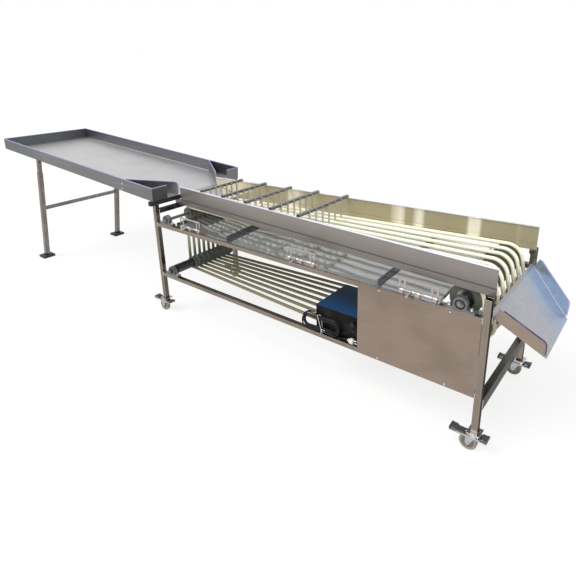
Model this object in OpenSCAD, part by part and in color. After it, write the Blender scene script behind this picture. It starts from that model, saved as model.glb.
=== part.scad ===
// Rope-type fruit grading machine on casters, with a tilted feed tray and an end chute.
// X runs from the feed tray to the end chute, Y across the machine, Z up from the floor.

/* [Frame] */
// Length of the frame over its legs
frame_len = 2222; // [2160:1:2400]
// Width of the frame over its legs
frame_w = 715; // [700:1:800]
// Side of the square leg and rail tube
leg_tube = 30; // [26:1:34]
// Wall of the tubes
tube_wall = 2; // [1:0.5:3]
// Height of the side rails
rail_h = 25; // [20:1:30]
// Top of the lower side rails above the floor
lower_rail_z = 305; // [290:1:320]
// Top of the upper side rails above the floor
upper_rail_z = 667; // [650:1:690]
// Gap from the upper rails to the bed rails
outlet_gap = 87; // [84:1:110]
// Top of the low cross tie at the discharge end
low_tie_z = 265; // [240:1:270]

/* [Grading bed] */
// Width over the bed walls at the feed end
bed_in_w = 326; // [324:1:340]
// Width over the bed walls at the discharge end
bed_out_w = 624; // [622:1:640]
// Height of the bed rails
bed_rail_h = 33; // [30:1:45]
// Width of the bed rails
bed_rail_w = 10; // [6:1:10]
// Height of the bed walls
wall_h = 91; // [70:1:120]
// Sheet thickness of walls, trays and chute
sheet = 2; // [1:0.5:3]
// Width of the folded lip on the bed walls
wall_lip = 10; // [6:1:16]
// Number of cross bars over the bed
bar_count = 5; // [2:1:7]
// Place of the first cross bar
bar_first = 305; // [298:1:330]
// Spacing of the cross bars
bar_step = 211; // [150:1:230]
// Width of a cross bar
bar_w = 20; // [14:1:26]
// Height of a cross bar
bar_h = 15; // [10:1:20]
// Width of a hanging guide strip
guide_w = 16; // [10:1:20]
// Thickness of a hanging guide strip
guide_t = 3; // [2:0.5:5]
// Height of the guide strips over the ropes
guide_gap = 8; // [4:1:20]

/* [Ropes and rollers] */
// Number of grading ropes
rope_count = 8; // [6:1:8]
// Diameter of a rope
rope_d = 20; // [14:1:21]
// Rope spacing on the infeed roller
infeed_pitch = 44; // [42:0.5:44.5]
// Rope spacing on the drive drum
drum_pitch = 79; // [76:0.5:79.5]
// Distance of the infeed roller from the feed end
infeed_x = 126; // [116:1:140]
// Distance of the drive drum from the discharge end
drum_back = 127; // [124:1:150]
// Radius of the rope line on the small rollers
small_r = 42; // [38:0.5:43]
// Radius of the rope line on the lower rollers
low_r = 46; // [44:0.5:47]
// Radius of the rope line on the drive drum
drum_r = 72; // [60:0.5:74]
// Height of the snub roller
snub_z = 550; // [530:1:565]
// Diameter of the roller shafts
shaft_d = 20; // [16:1:24]
// Height of a shaft over its bearing base
block_h = 33.3; // [30:0.1:40]
// Length of a bearing base
block_len = 127; // [110:1:132]
// Radius of the bearing housing
block_r = 31; // [26:1:33]

/* [Feed tray] */
// Length of the tray
tray_len = 2177; // [2000:1:2400]
// Width of the tray
tray_w = 777; // [750:1:840]
// Height of the tray walls
tray_wall_h = 86; // [60:1:110]
// Slope of the tray
tray_tilt = 4; // [2:0.1:5]
// Place of the tray outlet end
tray_end_x = 56; // [50:1:62]
// Gap of the tray over its support bar at the outlet end
tray_end_gap = 5; // [4:1:12]
// Length of the slanted wings
wing_len = 326; // [240:1:380]
// Length of the feed plate below the tray
feed_plate_len = 226; // [180:1:230]
// Slope of the feed plate below the tray
feed_plate_tilt = 10; // [6:0.5:11]

/* [Tray stand] */
// Distance of the stand feet from the frame
stand_x = 1757; // [1600:1:1800]
// Spacing of the stand legs
stand_span = 723; // [690:1:734]
// Lean of the stand legs
stand_lean = 12.5; // [8:0.5:14]
// Side of the inner stand tube
stand_tube = 30; // [24:1:34]
// Top of the outer stand tube along the leg
stand_outer_top = 830; // [760:1:840]
// Overlap of the two stand tubes
stand_overlap = 330; // [200:1:340]
// Height of the stand cross bar along the leg
stand_bar_z = 480; // [300:1:490]
// Side of a stand foot
foot_size = 100; // [80:1:120]
// Thickness of a stand foot
foot_t = 5; // [4:1:8]

/* [Outlets] */
// Place of the first outlet divider
divider_1 = 665; // [560:1:760]
// Distance of the second outlet divider from the discharge end
divider_2_back = 532; // [502:1:622]
// Rise of the collecting trays across the frame
tray_rise = 30; // [16:1:40]
// Height of the outlet dividers
divider_h = 18; // [10:1:20]
// Width of an outlet gate
gate_w = 190; // [150:1:200]
// Height of an outlet gate over its hinge
gate_h = 60; // [40:1:64]
// Reach of a gate lever
lever_len = 52; // [30:1:60]

/* [Side panel and chute] */
// Length of the side panel
panel_len = 590; // [420:1:600]
// Length of the end chute beyond the frame
chute_reach = 215; // [160:1:260]
// Slope of the end chute
chute_tilt = 28; // [22:1:34]
// Height of the chute walls
chute_wall_h = 55; // [40:1:70]
// Narrowing of the chute at its far side
chute_narrow = 245; // [60:1:260]

/* [Casters] */
// Diameter of a caster wheel
wheel_d = 80; // [70:1:90]
// Width of a caster wheel
wheel_w = 24; // [18:1:26]
// Trail of a caster wheel
caster_trail = 24; // [18:1:28]
// Reach of a brake pedal each way
pedal_reach = 84; // [78:1:95]

/* [Control and drive] */
// Length of the control box
cover_len = 332; // [320:1:340]
// Top of the control box
cover_z = 453; // [448:1:480]
// Diameter of the speed knob
knob_d = 32; // [24:1:34]
// Diameter of the motor body
motor_d = 110; // [90:1:120]
// Radius of the belt line on the motor pulley
motor_pulley_r = 31; // [26:1:36]
// Radius of the belt line on the drum pulley
drum_pulley_r = 53; // [48:1:54]

/* [Hidden] */
$fn = 48;
rope_clear = 0.5;
run_fit = 0.05;
body_gap = 0.4;
trim_w = 6;
trim_h = 5;
trim_start = 16;
corner_r = 22;
corner_steps = 8;

// Frame levels and lines
plate_t = 4;
fork_disc_h = 6;
swivel_gap = 0.3;
fork_room = 14.7;
leg_base = wheel_d + fork_room + fork_disc_h + swivel_gap + plate_t;
leg_top = upper_rail_z + outlet_gap;
bed_top = leg_top + bed_rail_h;
wall_top = bed_top + wall_h;
side_y = frame_w / 2;
rail_y = side_y - leg_tube / 2;
inner_y = side_y - leg_tube;
bed_angle = atan((bed_out_w - bed_in_w) / 2 / frame_len);
bed_run = frame_len / cos(bed_angle);
rail_proud = 6;
function bed_half(x) = (bed_in_w + (bed_out_w - bed_in_w) * x / frame_len) / 2;

// Roller places
drum_x = frame_len - drum_back;
snub_x = frame_len - leg_tube - block_h;
guide_x = drum_x - 68;
top_shaft_z = upper_rail_z + block_h;
low_shaft_z = lower_rail_z + block_h;
rope_mid = (rope_count - 1) / 2;
function pitch_at(x) =
    infeed_pitch + (drum_pitch - infeed_pitch) * (x - infeed_x) / (drum_x - infeed_x);
function rope_y(i, x) = (i - rope_mid) * pitch_at(x);
function run_top(x) =
    top_shaft_z + small_r + (drum_r - small_r) * (x - infeed_x) / (drum_x - infeed_x) + rope_d / 2;

// Feed tray
bar_tube = 30;
bar_x = 8;
tray_end_z = bed_top + bar_tube + tray_end_gap;
function tray_under(x) = tray_end_z + (tray_end_x - x) * tan(tray_tilt);
tray_left = tray_end_x - tray_len * cos(tray_tilt);
throat_half = bed_half(tray_end_x) + 8;
bed_start = tray_end_x + 4;

// Stand
stand_gap = 0.4;
stand_wall = 2.4;
stand_travel = 80;
stand_outer = stand_tube + 2 * (stand_gap + stand_wall);

// Outlets
tray_1_x = infeed_x + 72;
tray_3_end = drum_x - drum_r - 21;
flange_y = side_y - 8;
floor_y = inner_y - 2;
gate_hinge_y = rail_y - 1;
gate_hinge_z = upper_rail_z + sheet + 16;
divider_2 = frame_len - divider_2_back;
gate_1_x = 355;
gate_2_back = 449;
gate_3_gap = 5;
gate_mid = [gate_1_x, divider_2 - gate_2_back, tray_3_end - gate_w / 2 - gate_3_gap];
knuckle_r = 8;
rod_d = 8;
knuckle_w = 20;

// Origin at the middle of the whole machine on the floor
chute_end_x = frame_len + chute_reach;
mid_x = (tray_left + chute_end_x) / 2;

// Control box and cord
cover_shown = 274;
cover_x = frame_len - leg_tube - panel_len - cover_shown;
cover_y = -inner_y;
cover_depth = 290;
shelf_t = 3;
shelf_z = lower_rail_z + shelf_t;
shelf_lap = 6;
knob_back = 100;
knob_drop = 42;
knob_x = cover_x + cover_len - knob_back;
knob_z = cover_z - knob_drop;
switch_z = cover_z - 2 * knob_drop;
gland_y = -300;
gland_z = 381.5;
gland_len = 28;
cord_d = 8;

// Hank of the mains cord: loops in and out in two layers, standing on the lower rail
hank_loops = 4;
hank_half_run = 75;
hank_fold = 24;
hank_step = 11.5;
hank_x = 1370;
hank_z = 356.5;
hank_y = -350.5;
hank_layer = 8.8;
hank_waist = 0.12;
loop_rings = 24;
lead_points = [
    [1300, -300, 381.5], [1290, -300, 381.5], [1270, -301, 381.5], [1253, -306, 376.5], [1239, -315, 363.5],
    [1234, -325.5, 345.5], [1239, -336, 327.5], [1253, -345, 314.5], [1270, -349.5, 309.5], [1283, -350.5, 309.5],
    [1295, -350.5, 309.5]
];
tail_points = [
    [1468, -341.7, 309.5], [1490, -341.7, 309.5], [1500, -342, 311], [1510, -343, 315], [1520, -344, 319],
    [1530, -344.5, 320.5], [1538, -344.5, 320.5]
];
plug_at = [1538, -344.5, 320.5];
plug_d = 30;

// Drive
motor_back = 188;
motor_rise = 65;
motor_x = drum_x - motor_back;
motor_z = shelf_z + motor_rise;
pulley_w = 18;
belt_w = 10;
belt_t = 8;

// Shared helpers
module place() {
    translate([-mid_x, 0, 0]) children();
}

module both_sides() {
    children();
    mirror([0, 1, 0]) children();
}

module tube(size, along) {
    cut = [for (k = [0:2]) k == along ? size[k] + 2 : size[k] - 2 * tube_wall];
    shift = [for (k = [0:2]) k == along ? -1 : tube_wall];
    difference() {
        cube(size);
        translate(shift) cube(cut);
    }
}

module rod_y(d, y0, y1) {
    translate([0, y1, 0]) rotate([90, 0, 0]) cylinder(d = d, h = y1 - y0);
}

module rod_x(d, x0, x1) {
    translate([x0, 0, 0]) rotate([0, 90, 0]) cylinder(d = d, h = x1 - x0);
}

module profile_x(x0, x1) {
    translate([x0, 0, 0]) rotate([90, 0, 90]) linear_extrude(x1 - x0) children();
}

module profile_y(y0, y1) {
    translate([0, y1, 0]) rotate([90, 0, 0]) linear_extrude(y1 - y0) children();
}

// Closed loop over circles [s, z, r], taken clockwise; the children are its section
function heading(a, b) =
    atan2(b[1] - a[1], b[0] - a[0]) - asin((a[2] - b[2]) / norm([b[0] - a[0], b[1] - a[1]]));
function wrap(a) = a - 360 * floor(a / 360);

module loop_runs(circles) {
    n = len(circles);
    for (k = [0:n - 1]) {
        here = circles[k];
        after = circles[(k + 1) % n];
        turn_out = heading(here, after);
        normal = turn_out + 90;
        start = [here[0] + here[2] * cos(normal), here[1] + here[2] * sin(normal)];
        stop = [after[0] + after[2] * cos(normal), after[1] + after[2] * sin(normal)];
        translate([start[0], 0, start[1]]) rotate([0, 90 - turn_out, 0])
            linear_extrude(norm(stop - start)) children();
    }
}

module loop_turns(circles) {
    n = len(circles);
    for (k = [0:n - 1]) {
        here = circles[k];
        turn_in = heading(circles[(k + n - 1) % n], here);
        turn_out = heading(here, circles[(k + 1) % n]);
        translate([here[0], 0, here[1]]) rotate([90, 0, 0]) rotate([0, 0, turn_out + 90])
            rotate_extrude(angle = wrap(turn_in - turn_out)) translate([here[2], 0]) children();
    }
}

function loop_points(circles, grow, steps) =
    let (n = len(circles))
    [
        for (k = [0:n - 1])
            let (
                here = circles[k],
                turn_in = heading(circles[(k + n - 1) % n], here) + 90,
                turn_out = heading(here, circles[(k + 1) % n]) + 90,
                sweep = wrap(turn_in - turn_out)
            )
            for (j = [0:steps])
                let (a = turn_in - sweep * j / steps)
                [here[0], here[1]] + (here[2] + grow) * [cos(a), sin(a)]
    ];

// Points of a round corner of radius r at p, between the edges to a and b
function corner(a, p, b, r, steps) =
    let (
        u = unit(a - p),
        v = unit(b - p),
        half = acos(u * v) / 2,
        mid = p + unit(u + v) * corner_r / sin(half),
        first = p + u * corner_r / tan(half) - mid,
        last = p + v * corner_r / tan(half) - mid,
        from = atan2(first[1], first[0]),
        sweep = wrap(atan2(last[1], last[0]) - from + 180) - 180
    )
    [for (j = [0:steps]) let (t = from + sweep * j / steps) mid + r * [cos(t), sin(t)]];

// Sheet wall with a round upper corner at its end, and the edging that follows its edge
function wall_corner(length, h, lean, r) =
    corner([length, 0], [length - h * lean, h], [0, h], r, corner_steps);

module round_wall(length, h, lean) {
    foot = sheet / 2;
    profile_y(0, sheet) polygon(concat(
        [[0, foot], [length - foot * lean, foot]], wall_corner(length, h, lean, corner_r), [[0, h]]
    ));
}

module round_trim(length, h, lean) {
    low = trim_start / 2;
    out = unit([1, lean]) * trim_h;
    foot = [length - low * lean, low];
    profile_y((sheet - trim_w) / 2, (sheet + trim_w) / 2) polygon(concat(
        [[trim_start, h]], [for (k = [corner_steps:-1:0]) wall_corner(length, h, lean, corner_r)[k]], [foot],
        [foot + out], wall_corner(length, h, lean, corner_r + trim_h), [[trim_start, h + trim_h]]
    ));
}

// Tube swept along points, with its rings square to the path
function unit(v) = v / norm(v);
function path_dir(p, i) = unit(p[min(i + 1, len(p) - 1)] - p[max(i - 1, 0)]);
function ring(p, i, r, sides) =
    let (t = path_dir(p, i), a = unit(cross(t, [0, 1, 0])), b = cross(t, a))
    [for (k = [0:sides - 1]) p[i] + r * (cos(360 * k / sides) * a + sin(360 * k / sides) * b)];

module swept_tube(p, d, sides) {
    n = len(p);
    points = [for (i = [0:n - 1]) each ring(p, i, d / 2, sides)];
    skin = [
        for (i = [0:n - 2], k = [0:sides - 1], half = [0, 1])
            let (m = (k + 1) % sides, a = i * sides, b = a + sides)
            half == 0 ? [a + k, b + k, b + m] : [a + k, b + m, a + m]
    ];
    first = [for (k = [1:sides - 2]) [0, k, k + 1]];
    last = [for (k = [1:sides - 2]) [(n - 1) * sides, (n - 1) * sides + k + 1, (n - 1) * sides + k]];
    polyhedron(points, concat(skin, first, last), convexity = 10);
}

// Frame
module frame_legs() {
    tops = [bed_top, leg_top];
    color("silver") place() both_sides() for (k = [0, 1])
        translate([k * (frame_len - leg_tube), -side_y, leg_base])
            tube([leg_tube, leg_tube, tops[k] - leg_base], 2);
}

module side_rails(top) {
    both_sides() translate([leg_tube, -side_y, top - rail_h])
        tube([frame_len - 2 * leg_tube, leg_tube, rail_h], 0);
}

module upper_rails() {
    color("silver") place() side_rails(upper_rail_z);
}

module lower_rails() {
    color("silver") place() side_rails(lower_rail_z);
}

end_tie_w = 22;
low_tie_h = 58;
seat_h = 20;
module cross_ties() {
    seat_in = bed_half(frame_len) - bed_rail_w - 4;
    color("silver") place() {
        translate([0, -inner_y, leg_top - leg_tube]) tube([leg_tube, 2 * inner_y, leg_tube], 1);
        translate([frame_len - end_tie_w, -inner_y, upper_rail_z - rail_h])
            tube([end_tie_w, 2 * inner_y, rail_h], 1);
        translate([frame_len - leg_tube, -inner_y, low_tie_z - low_tie_h])
            tube([leg_tube, 2 * inner_y, low_tie_h], 1);
        both_sides() translate([frame_len - leg_tube, -inner_y, leg_top - seat_h])
            cube([leg_tube, inner_y - seat_in, seat_h]);
    }
}

module along_bed() {
    both_sides() translate([0, -bed_half(0), 0]) rotate([0, 0, -bed_angle]) children();
}

module bed_rails() {
    color("gray") place() along_bed() translate([0, -rail_proud, leg_top])
        tube([bed_run, bed_rail_w, bed_rail_h], 0);
}

module bed_walls() {
    start = bed_start / cos(bed_angle);
    color("tan") place() along_bed() {
        translate([start, 0, bed_top]) cube([bed_run - start, sheet, wall_h]);
        translate([start, 0, wall_top - sheet]) cube([bed_run - start, wall_lip, sheet]);
    }
}

bracket_y = 250;
bracket_w = 40;
module feed_crossbar() {
    color("dimgray") place() {
        translate([bar_x, -bar_reach, bed_top]) tube([bar_tube, 2 * bar_reach, bar_tube], 1);
        both_sides() profile_y(-bracket_y - bracket_w / 2, -bracket_y + bracket_w / 2) polygon([
            [bar_x, bed_top + bar_tube], [bar_x + bar_tube, bed_top + bar_tube],
            [bar_x + bar_tube, tray_under(bar_x + bar_tube)], [bar_x, tray_under(bar_x)]
        ]);
    }
}

bar_inset = 1;
bar_reach = tray_w / 2 - bar_inset;
cap_t = 6;
module crossbar_caps() {
    color("black") place() both_sides() translate([bar_x, -bar_reach - cap_t, bed_top])
        cube([bar_tube, cap_t, bar_tube]);
}

// Cross bars with their hanging guides
function bar_place(i) = bar_first + i * bar_step;

module at_guides() {
    for (i = [0:bar_count - 1], k = [1:rope_count - 2])
        translate([bar_place(i) + bar_w / 2, rope_y(k, bar_place(i)), 0]) children();
}

module lane_guides() {
    overhang = 4;
    color("gray") place() for (i = [0:bar_count - 1]) {
        x = bar_place(i);
        foot = run_top(x) + guide_gap;
        half = bed_half(x) + overhang;
        translate([x - bar_w / 2, -half, wall_top]) tube([bar_w, 2 * half, bar_h], 1);
        for (k = [1:rope_count - 2])
            translate([x + bar_w / 2, rope_y(k, x) - guide_w / 2, foot])
                cube([guide_t, guide_w, wall_top + bar_h - foot]);
    }
}

bolt_d = 9;
bolt_h = 4;
module screw_heads() {
    color("white") place() {
        at_guides() translate([0, 0, wall_top + bar_h / 2]) rod_x(bolt_d, guide_t, guide_t + bolt_h);
        for (k = [-2:2]) translate([bar_x + bar_tube, k * 55, bed_top + bar_tube / 2])
            rod_x(bolt_d, 0, bolt_h);
        for (x = [panel_x + 116, panel_x + panel_len - 134],
             z = [lower_rail_z - rail_h / 2, upper_rail_z - rail_h / 2])
            translate([x, -side_y - sheet, z]) rod_y(bolt_d, -bolt_h, 0);
    }
}

// Feed tray in its own tilted frame: the outlet end at x = 0, the underside at z = 0
module tray_frame() {
    translate([tray_end_x, 0, tray_end_z]) rotate([0, tray_tilt, 0]) children();
}

wing_from = [-wing_len, -tray_w / 2 + sheet / 2];
wing_to = [-trim_h - 7, -throat_half];
wing_turn = atan2(wing_to[1] - wing_from[1], wing_to[0] - wing_from[0]);
wing_h = tray_wall_h - 1;
end_wall = (tray_w / 2 - throat_half) * 0.55;
module at_wing() {
    translate([wing_from[0], wing_from[1], 0]) rotate([0, 0, wing_turn]) children();
}

module feed_tray() {
    half = tray_w / 2;
    color("gainsboro") place() tray_frame() {
        translate([-tray_len, -half, 0]) cube([tray_len, tray_w, sheet]);
        translate([-tray_len, -half, 0]) cube([sheet, tray_w, tray_wall_h]);
        both_sides() {
            translate([-tray_len, -half, 0]) cube([tray_len, sheet, tray_wall_h]);
            translate([-sheet, -half, 0]) cube([sheet, end_wall, tray_wall_h]);
            at_wing() round_wall(norm(wing_to - wing_from), wing_h, 0);
        }
        plate_half = bed_half(bed_start) - sheet - 4;
        bend = 2;
        tip = [bend, 0] + (feed_plate_len - bend) * [cos(feed_plate_tilt), -sin(feed_plate_tilt)];
        profile_y(-plate_half, plate_half) polygon([
            [-bar_tube, 0], [bend, 0], tip, tip - sheet * [sin(feed_plate_tilt), cos(feed_plate_tilt)],
            [bend - sheet * tan(feed_plate_tilt / 2), -sheet], [-bar_tube, -sheet]
        ]);
    }
}

// Edging on the tray rim, the outlet dividers and the chute walls
module rim(length) {
    translate([0, (sheet - trim_w) / 2, 0]) cube([length, trim_w, trim_h]);
}

module edge_trim() {
    half = tray_w / 2;
    inset = (sheet + trim_w) / 2;
    color("slateblue") place() {
        tray_frame() {
            translate([-tray_len - (trim_w - sheet) / 2, inset - half, tray_wall_h])
                cube([trim_w, tray_w - 2 * inset, trim_h]);
            both_sides() {
                translate([-tray_len, -half, tray_wall_h]) rim(tray_len);
                translate([-trim_w, inset - half, tray_wall_h]) cube([trim_w, end_wall - inset, trim_h]);
                at_wing() round_trim(norm(wing_to - wing_from), wing_h, 0);
            }
        }
        for (x = [divider_1, divider_2]) profile_x(x - trim_w / 2, x + trim_w / 2) divider_top(trim_h - 1);
        chute_frame() {
            for (side = [-1, 1]) chute_line(side) round_trim(chute_side(side), chute_wall_h, chute_lean(side));
        }
    }
}

// Telescopic stand below the left end of the tray
module stand_leg() {
    both_sides() translate([-stand_x, -stand_span / 2, 0]) rotate([0, stand_lean, 0]) children();
}

module over_tray() {
    tray_frame() translate([-tray_len - tray_w, -tray_w, 0]) cube([tray_len + 2 * tray_w, 2 * tray_w, tray_w]);
}

module stand_inner_tubes() {
    inside = stand_outer_top - stand_overlap;
    reach = 400;
    gusset = 80;
    joint_z = stand_outer_top + stand_travel + 15;
    color("silver") place() difference() {
        stand_leg() {
            translate([-stand_tube / 2, -stand_tube / 2, inside])
                tube([stand_tube, stand_tube, stand_overlap + reach], 2);
            profile_y(-3, 3) polygon([
                [stand_tube / 2, joint_z - 10], [stand_tube / 2 + gusset, joint_z + gusset],
                [stand_tube / 2 + gusset, joint_z + reach / 2], [stand_tube / 2, joint_z + reach / 2]
            ]);
        }
        over_tray();
    }
}

module stand_frame() {
    bore = stand_tube + 2 * stand_gap;
    bar = 25;
    clamp_d = 8;
    clamp_reach = 12;
    color("silver") place() {
        difference() {
            stand_leg() {
                difference() {
                    translate([-stand_outer / 2, -stand_outer / 2, -60])
                        cube([stand_outer, stand_outer, stand_outer_top + 60]);
                    translate([-bore / 2, -bore / 2, 60]) cube([bore, bore, stand_outer_top]);
                }
                translate([0, 0, stand_outer_top - 30])
                    rod_x(clamp_d, bore / 2, stand_outer / 2 + clamp_reach);
            }
            translate([-stand_x - 2 * foot_size, -stand_span, -2 * foot_size])
                cube([4 * foot_size, 2 * stand_span, 2 * foot_size + foot_t]);
        }
        both_sides() translate([-stand_x - foot_size / 2, -stand_span / 2 - foot_size / 2, 0])
            cube([foot_size, foot_size, foot_t]);
        bar_half = (stand_span - stand_outer) / 2;
        translate([-stand_x, 0, 0]) rotate([0, stand_lean, 0])
            translate([-bar / 2, -bar_half, stand_bar_z]) tube([bar, 2 * bar_half, bar], 1);
    }
}

// Rollers, sheaves and ropes
shown_end = side_y + 5;
hidden_end = side_y - 1;
module roller(x, z, sleeve_d, sleeve_half, end) {
    ring_d = 30;
    ring_w = 26;
    translate([x, 0, z]) {
        rod_y(shaft_d, -end, end);
        rod_y(sleeve_d, -sleeve_half, sleeve_half);
        both_sides() rod_y(ring_d, -rail_y - ring_w / 2, -rail_y + ring_w / 2);
    }
}

module sheave(bore_r, line_r, w) {
    groove_r = line_r - rope_d / 2 - rope_clear;
    flange_r = line_r - 2;
    drift = line_r * (drum_pitch - infeed_pitch) * rope_mid / (drum_x - infeed_x);
    low = 5 + drift;
    high = min(rope_d / 2 + drift + 1.6, w / 2 - 0.5);
    rotate([90, 0, 0]) rotate_extrude() polygon([
        [bore_r, -w / 2], [flange_r, -w / 2], [flange_r, -high], [groove_r, -low],
        [groove_r, low], [flange_r, high], [flange_r, w / 2], [bore_r, w / 2]
    ]);
}

module sheave_row(x, z, bore_r, line_r, w) {
    for (i = [0:rope_count - 1]) translate([x, rope_y(i, x), z]) sheave(bore_r, line_r, w);
}

infeed_sleeve = 34;
return_sleeve = 62;
drum_sleeve = 80;
small_w = infeed_pitch - 2;
drum_w = 35;
sleeve_margin = 8;
module infeed_roller() {
    half = rope_y(rope_count - 1, infeed_x) + small_w / 2 + sleeve_margin;
    color("gray") place() roller(infeed_x, top_shaft_z, infeed_sleeve, half, shown_end);
}

module infeed_sheaves() {
    color("darkslategray") place() sheave_row(infeed_x, top_shaft_z, infeed_sleeve / 2, small_r, small_w);
}

module return_roller() {
    color("dimgray") place() roller(infeed_x, low_shaft_z, return_sleeve, inner_y - 10, shown_end);
}

module return_sheaves() {
    color("darkslategray") place() sheave_row(infeed_x, low_shaft_z, return_sleeve / 2, low_r, small_w);
}

module drive_shaft() {
    half = rope_y(rope_count - 1, drum_x) + drum_w / 2;
    color("gray") place() roller(drum_x, top_shaft_z, drum_sleeve, half, shown_end);
}

module drive_sheaves() {
    color("darkseagreen") place() sheave_row(drum_x, top_shaft_z, drum_sleeve / 2, drum_r, drum_w);
}

// Plain rollers that the ropes run over behind the side panel
module plain_roller(x, z, line_r) {
    half = rope_y(rope_count - 1, x) + rope_d / 2 + sleeve_margin;
    roller(x, z, 2 * line_r - rope_d - 2 * rope_clear, half, hidden_end);
}

module snub_roller() {
    color("gray") place() plain_roller(snub_x, snub_z, small_r);
}

module guide_roller() {
    color("gray") place() plain_roller(guide_x, low_shaft_z, low_r);
}

// Each rope lies in an upright plane that fans out from the infeed roller
function rope_lean(i) = atan((rope_y(i, drum_x) - rope_y(i, infeed_x)) / (drum_x - infeed_x));
function rope_path(i) =
    let (reach = 1 / cos(rope_lean(i)))
    [
        [0, top_shaft_z, small_r], [(drum_x - infeed_x) * reach, top_shaft_z, drum_r],
        [(snub_x - infeed_x) * reach, snub_z, small_r],
        [(guide_x - infeed_x) * reach, low_shaft_z, low_r], [0, low_shaft_z, low_r]
    ];

module rope_plane(i) {
    translate([infeed_x, rope_y(i, infeed_x), 0]) rotate([0, 0, rope_lean(i)]) children();
}

module rope_runs() {
    color("khaki") place() for (i = [0:rope_count - 1])
        rope_plane(i) loop_runs(rope_path(i)) circle(d = rope_d);
}

module rope_turns() {
    color("khaki") place() for (i = [0:rope_count - 1])
        rope_plane(i) loop_turns(rope_path(i)) circle(d = rope_d);
}

// Bearings: base at z = 0, shaft along Y at block_h
module at_blocks() {
    both_sides() {
        translate([infeed_x, -rail_y, upper_rail_z]) children();
        translate([drum_x, -rail_y, upper_rail_z]) children();
        translate([infeed_x, -rail_y, lower_rail_z]) children();
        translate([guide_x, -rail_y, lower_rail_z]) children();
        translate([frame_len - leg_tube, -rail_y, snub_z]) rotate([0, -90, 0]) children();
    }
}

block_base = 14;
block_w = 28;
module pillow_blocks() {
    bore_d = 30 + 2 * run_fit;
    neck = block_r * 0.95;
    color("darkgray") place() at_blocks() difference() {
        profile_y(-block_w / 2, block_w / 2) {
            translate([-block_len / 2, 0]) square([block_len, block_base]);
            translate([0, block_h]) circle(r = block_r);
            polygon([[-neck - 8, 0], [neck + 8, 0], [neck - 2, block_h], [2 - neck, block_h]]);
        }
        translate([0, 0, block_h]) rod_y(bore_d, -block_w, block_w);
    }
}

module block_bolts() {
    spacing = block_len - 30;
    color("white") place() at_blocks() for (s = [-1, 1])
        translate([s * spacing / 2, 0, block_base]) {
            cylinder(d = 20, h = 2);
            cylinder(d = 17, h = 9, $fn = 6);
        }
}

// Collecting trays: sheet profiles across the frame that slope down to the near side
function floor_z(y) = upper_rail_z + sheet + tray_rise * (y + floor_y) / (2 * floor_y + 5);
far_y = inner_y + 5;

module tray_section() {
    polygon([
        [-flange_y, upper_rail_z], [-floor_y, upper_rail_z], [far_y - sheet, floor_z(far_y) - sheet],
        [far_y - sheet, upper_rail_z], [far_y, upper_rail_z], [far_y, floor_z(far_y)],
        [-floor_y, upper_rail_z + sheet], [-flange_y, upper_rail_z + sheet]
    ]);
}

module divider_section() {
    polygon([
        [-floor_y, floor_z(-floor_y)], [far_y, floor_z(far_y)], [far_y, floor_z(far_y) + divider_h],
        [-floor_y, floor_z(-floor_y) + divider_h]
    ]);
}

module divider_top(h) {
    polygon([
        [-floor_y, floor_z(-floor_y) + divider_h], [far_y, floor_z(far_y) + divider_h],
        [far_y, floor_z(far_y) + divider_h + h], [-floor_y, floor_z(-floor_y) + divider_h + h]
    ]);
}

module collecting_trays() {
    spans = [[tray_1_x, divider_1 - 4], [divider_1 - 1, divider_2 - 4], [divider_2 - 1, tray_3_end]];
    color("lightgray") place() for (k = [0:2]) {
        profile_x(spans[k][0], spans[k][1]) tray_section();
        profile_x(spans[k][0], spans[k][0] + sheet) divider_section();
        if (k == 2) profile_x(spans[k][1] - sheet, spans[k][1]) divider_section();
    }
}

// Outlet gates: a flat-bar frame on a hinge rod, with a lever
knuckle_at = [-0.42, 0, 0.42];
module gate(x) {
    bar = 10;
    thick = 3;
    lever_d = 12;
    sleeve_gap = 0.5;
    color("silver") place() translate([x, -gate_hinge_y, gate_hinge_z]) {
        rod_x(rod_d, -gate_w / 2, gate_w / 2);
        for (k = [0, 1])
            rod_x(2 * knuckle_r, knuckle_at[k] * gate_w + knuckle_w / 2 + sleeve_gap,
                  knuckle_at[k + 1] * gate_w - knuckle_w / 2 - sleeve_gap);
        for (s = [-1, 1])
            translate([s * gate_w * 0.34 - bar / 2, -thick / 2, 0]) cube([bar, thick, gate_h]);
        translate([-gate_w / 2, -thick / 2, gate_h - bar]) cube([gate_w, thick, bar]);
        for (s = [-1, 1])
            translate([s * (gate_w / 2 - bar / 2) - bar / 2, -thick / 2, gate_h / 3])
                cube([bar, thick, gate_h * 2 / 3]);
        translate([-30, 0, 0]) rod_y(lever_d, -lever_len, 0);
    }
}

module outlet_gate_1() {
    gate(gate_mid[0]);
}

module outlet_gate_2() {
    gate(gate_mid[1]);
}

module outlet_gate_3() {
    gate(gate_mid[2]);
}

module gate_hinges() {
    base = upper_rail_z + sheet;
    color("white") place() for (x = gate_mid, k = knuckle_at)
        translate([x + k * gate_w - knuckle_w / 2, -gate_hinge_y, 0]) difference() {
            union() {
                translate([0, 0, gate_hinge_z]) rod_x(2 * knuckle_r, 0, knuckle_w);
                translate([0, -knuckle_r, base]) cube([knuckle_w, 2 * knuckle_r, gate_hinge_z - base]);
            }
            translate([0, 0, gate_hinge_z]) rod_x(rod_d + 2 * run_fit, -1, knuckle_w + 1);
        }
}

// Side panel
panel_x = frame_len - leg_tube - panel_len;
panel_low = lower_rail_z - rail_h + 2;
panel_high = upper_rail_z - 6;
module side_panel() {
    color("rosybrown") place() translate([panel_x, -side_y - sheet, panel_low])
        cube([panel_len, sheet, panel_high - panel_low]);
}

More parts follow.
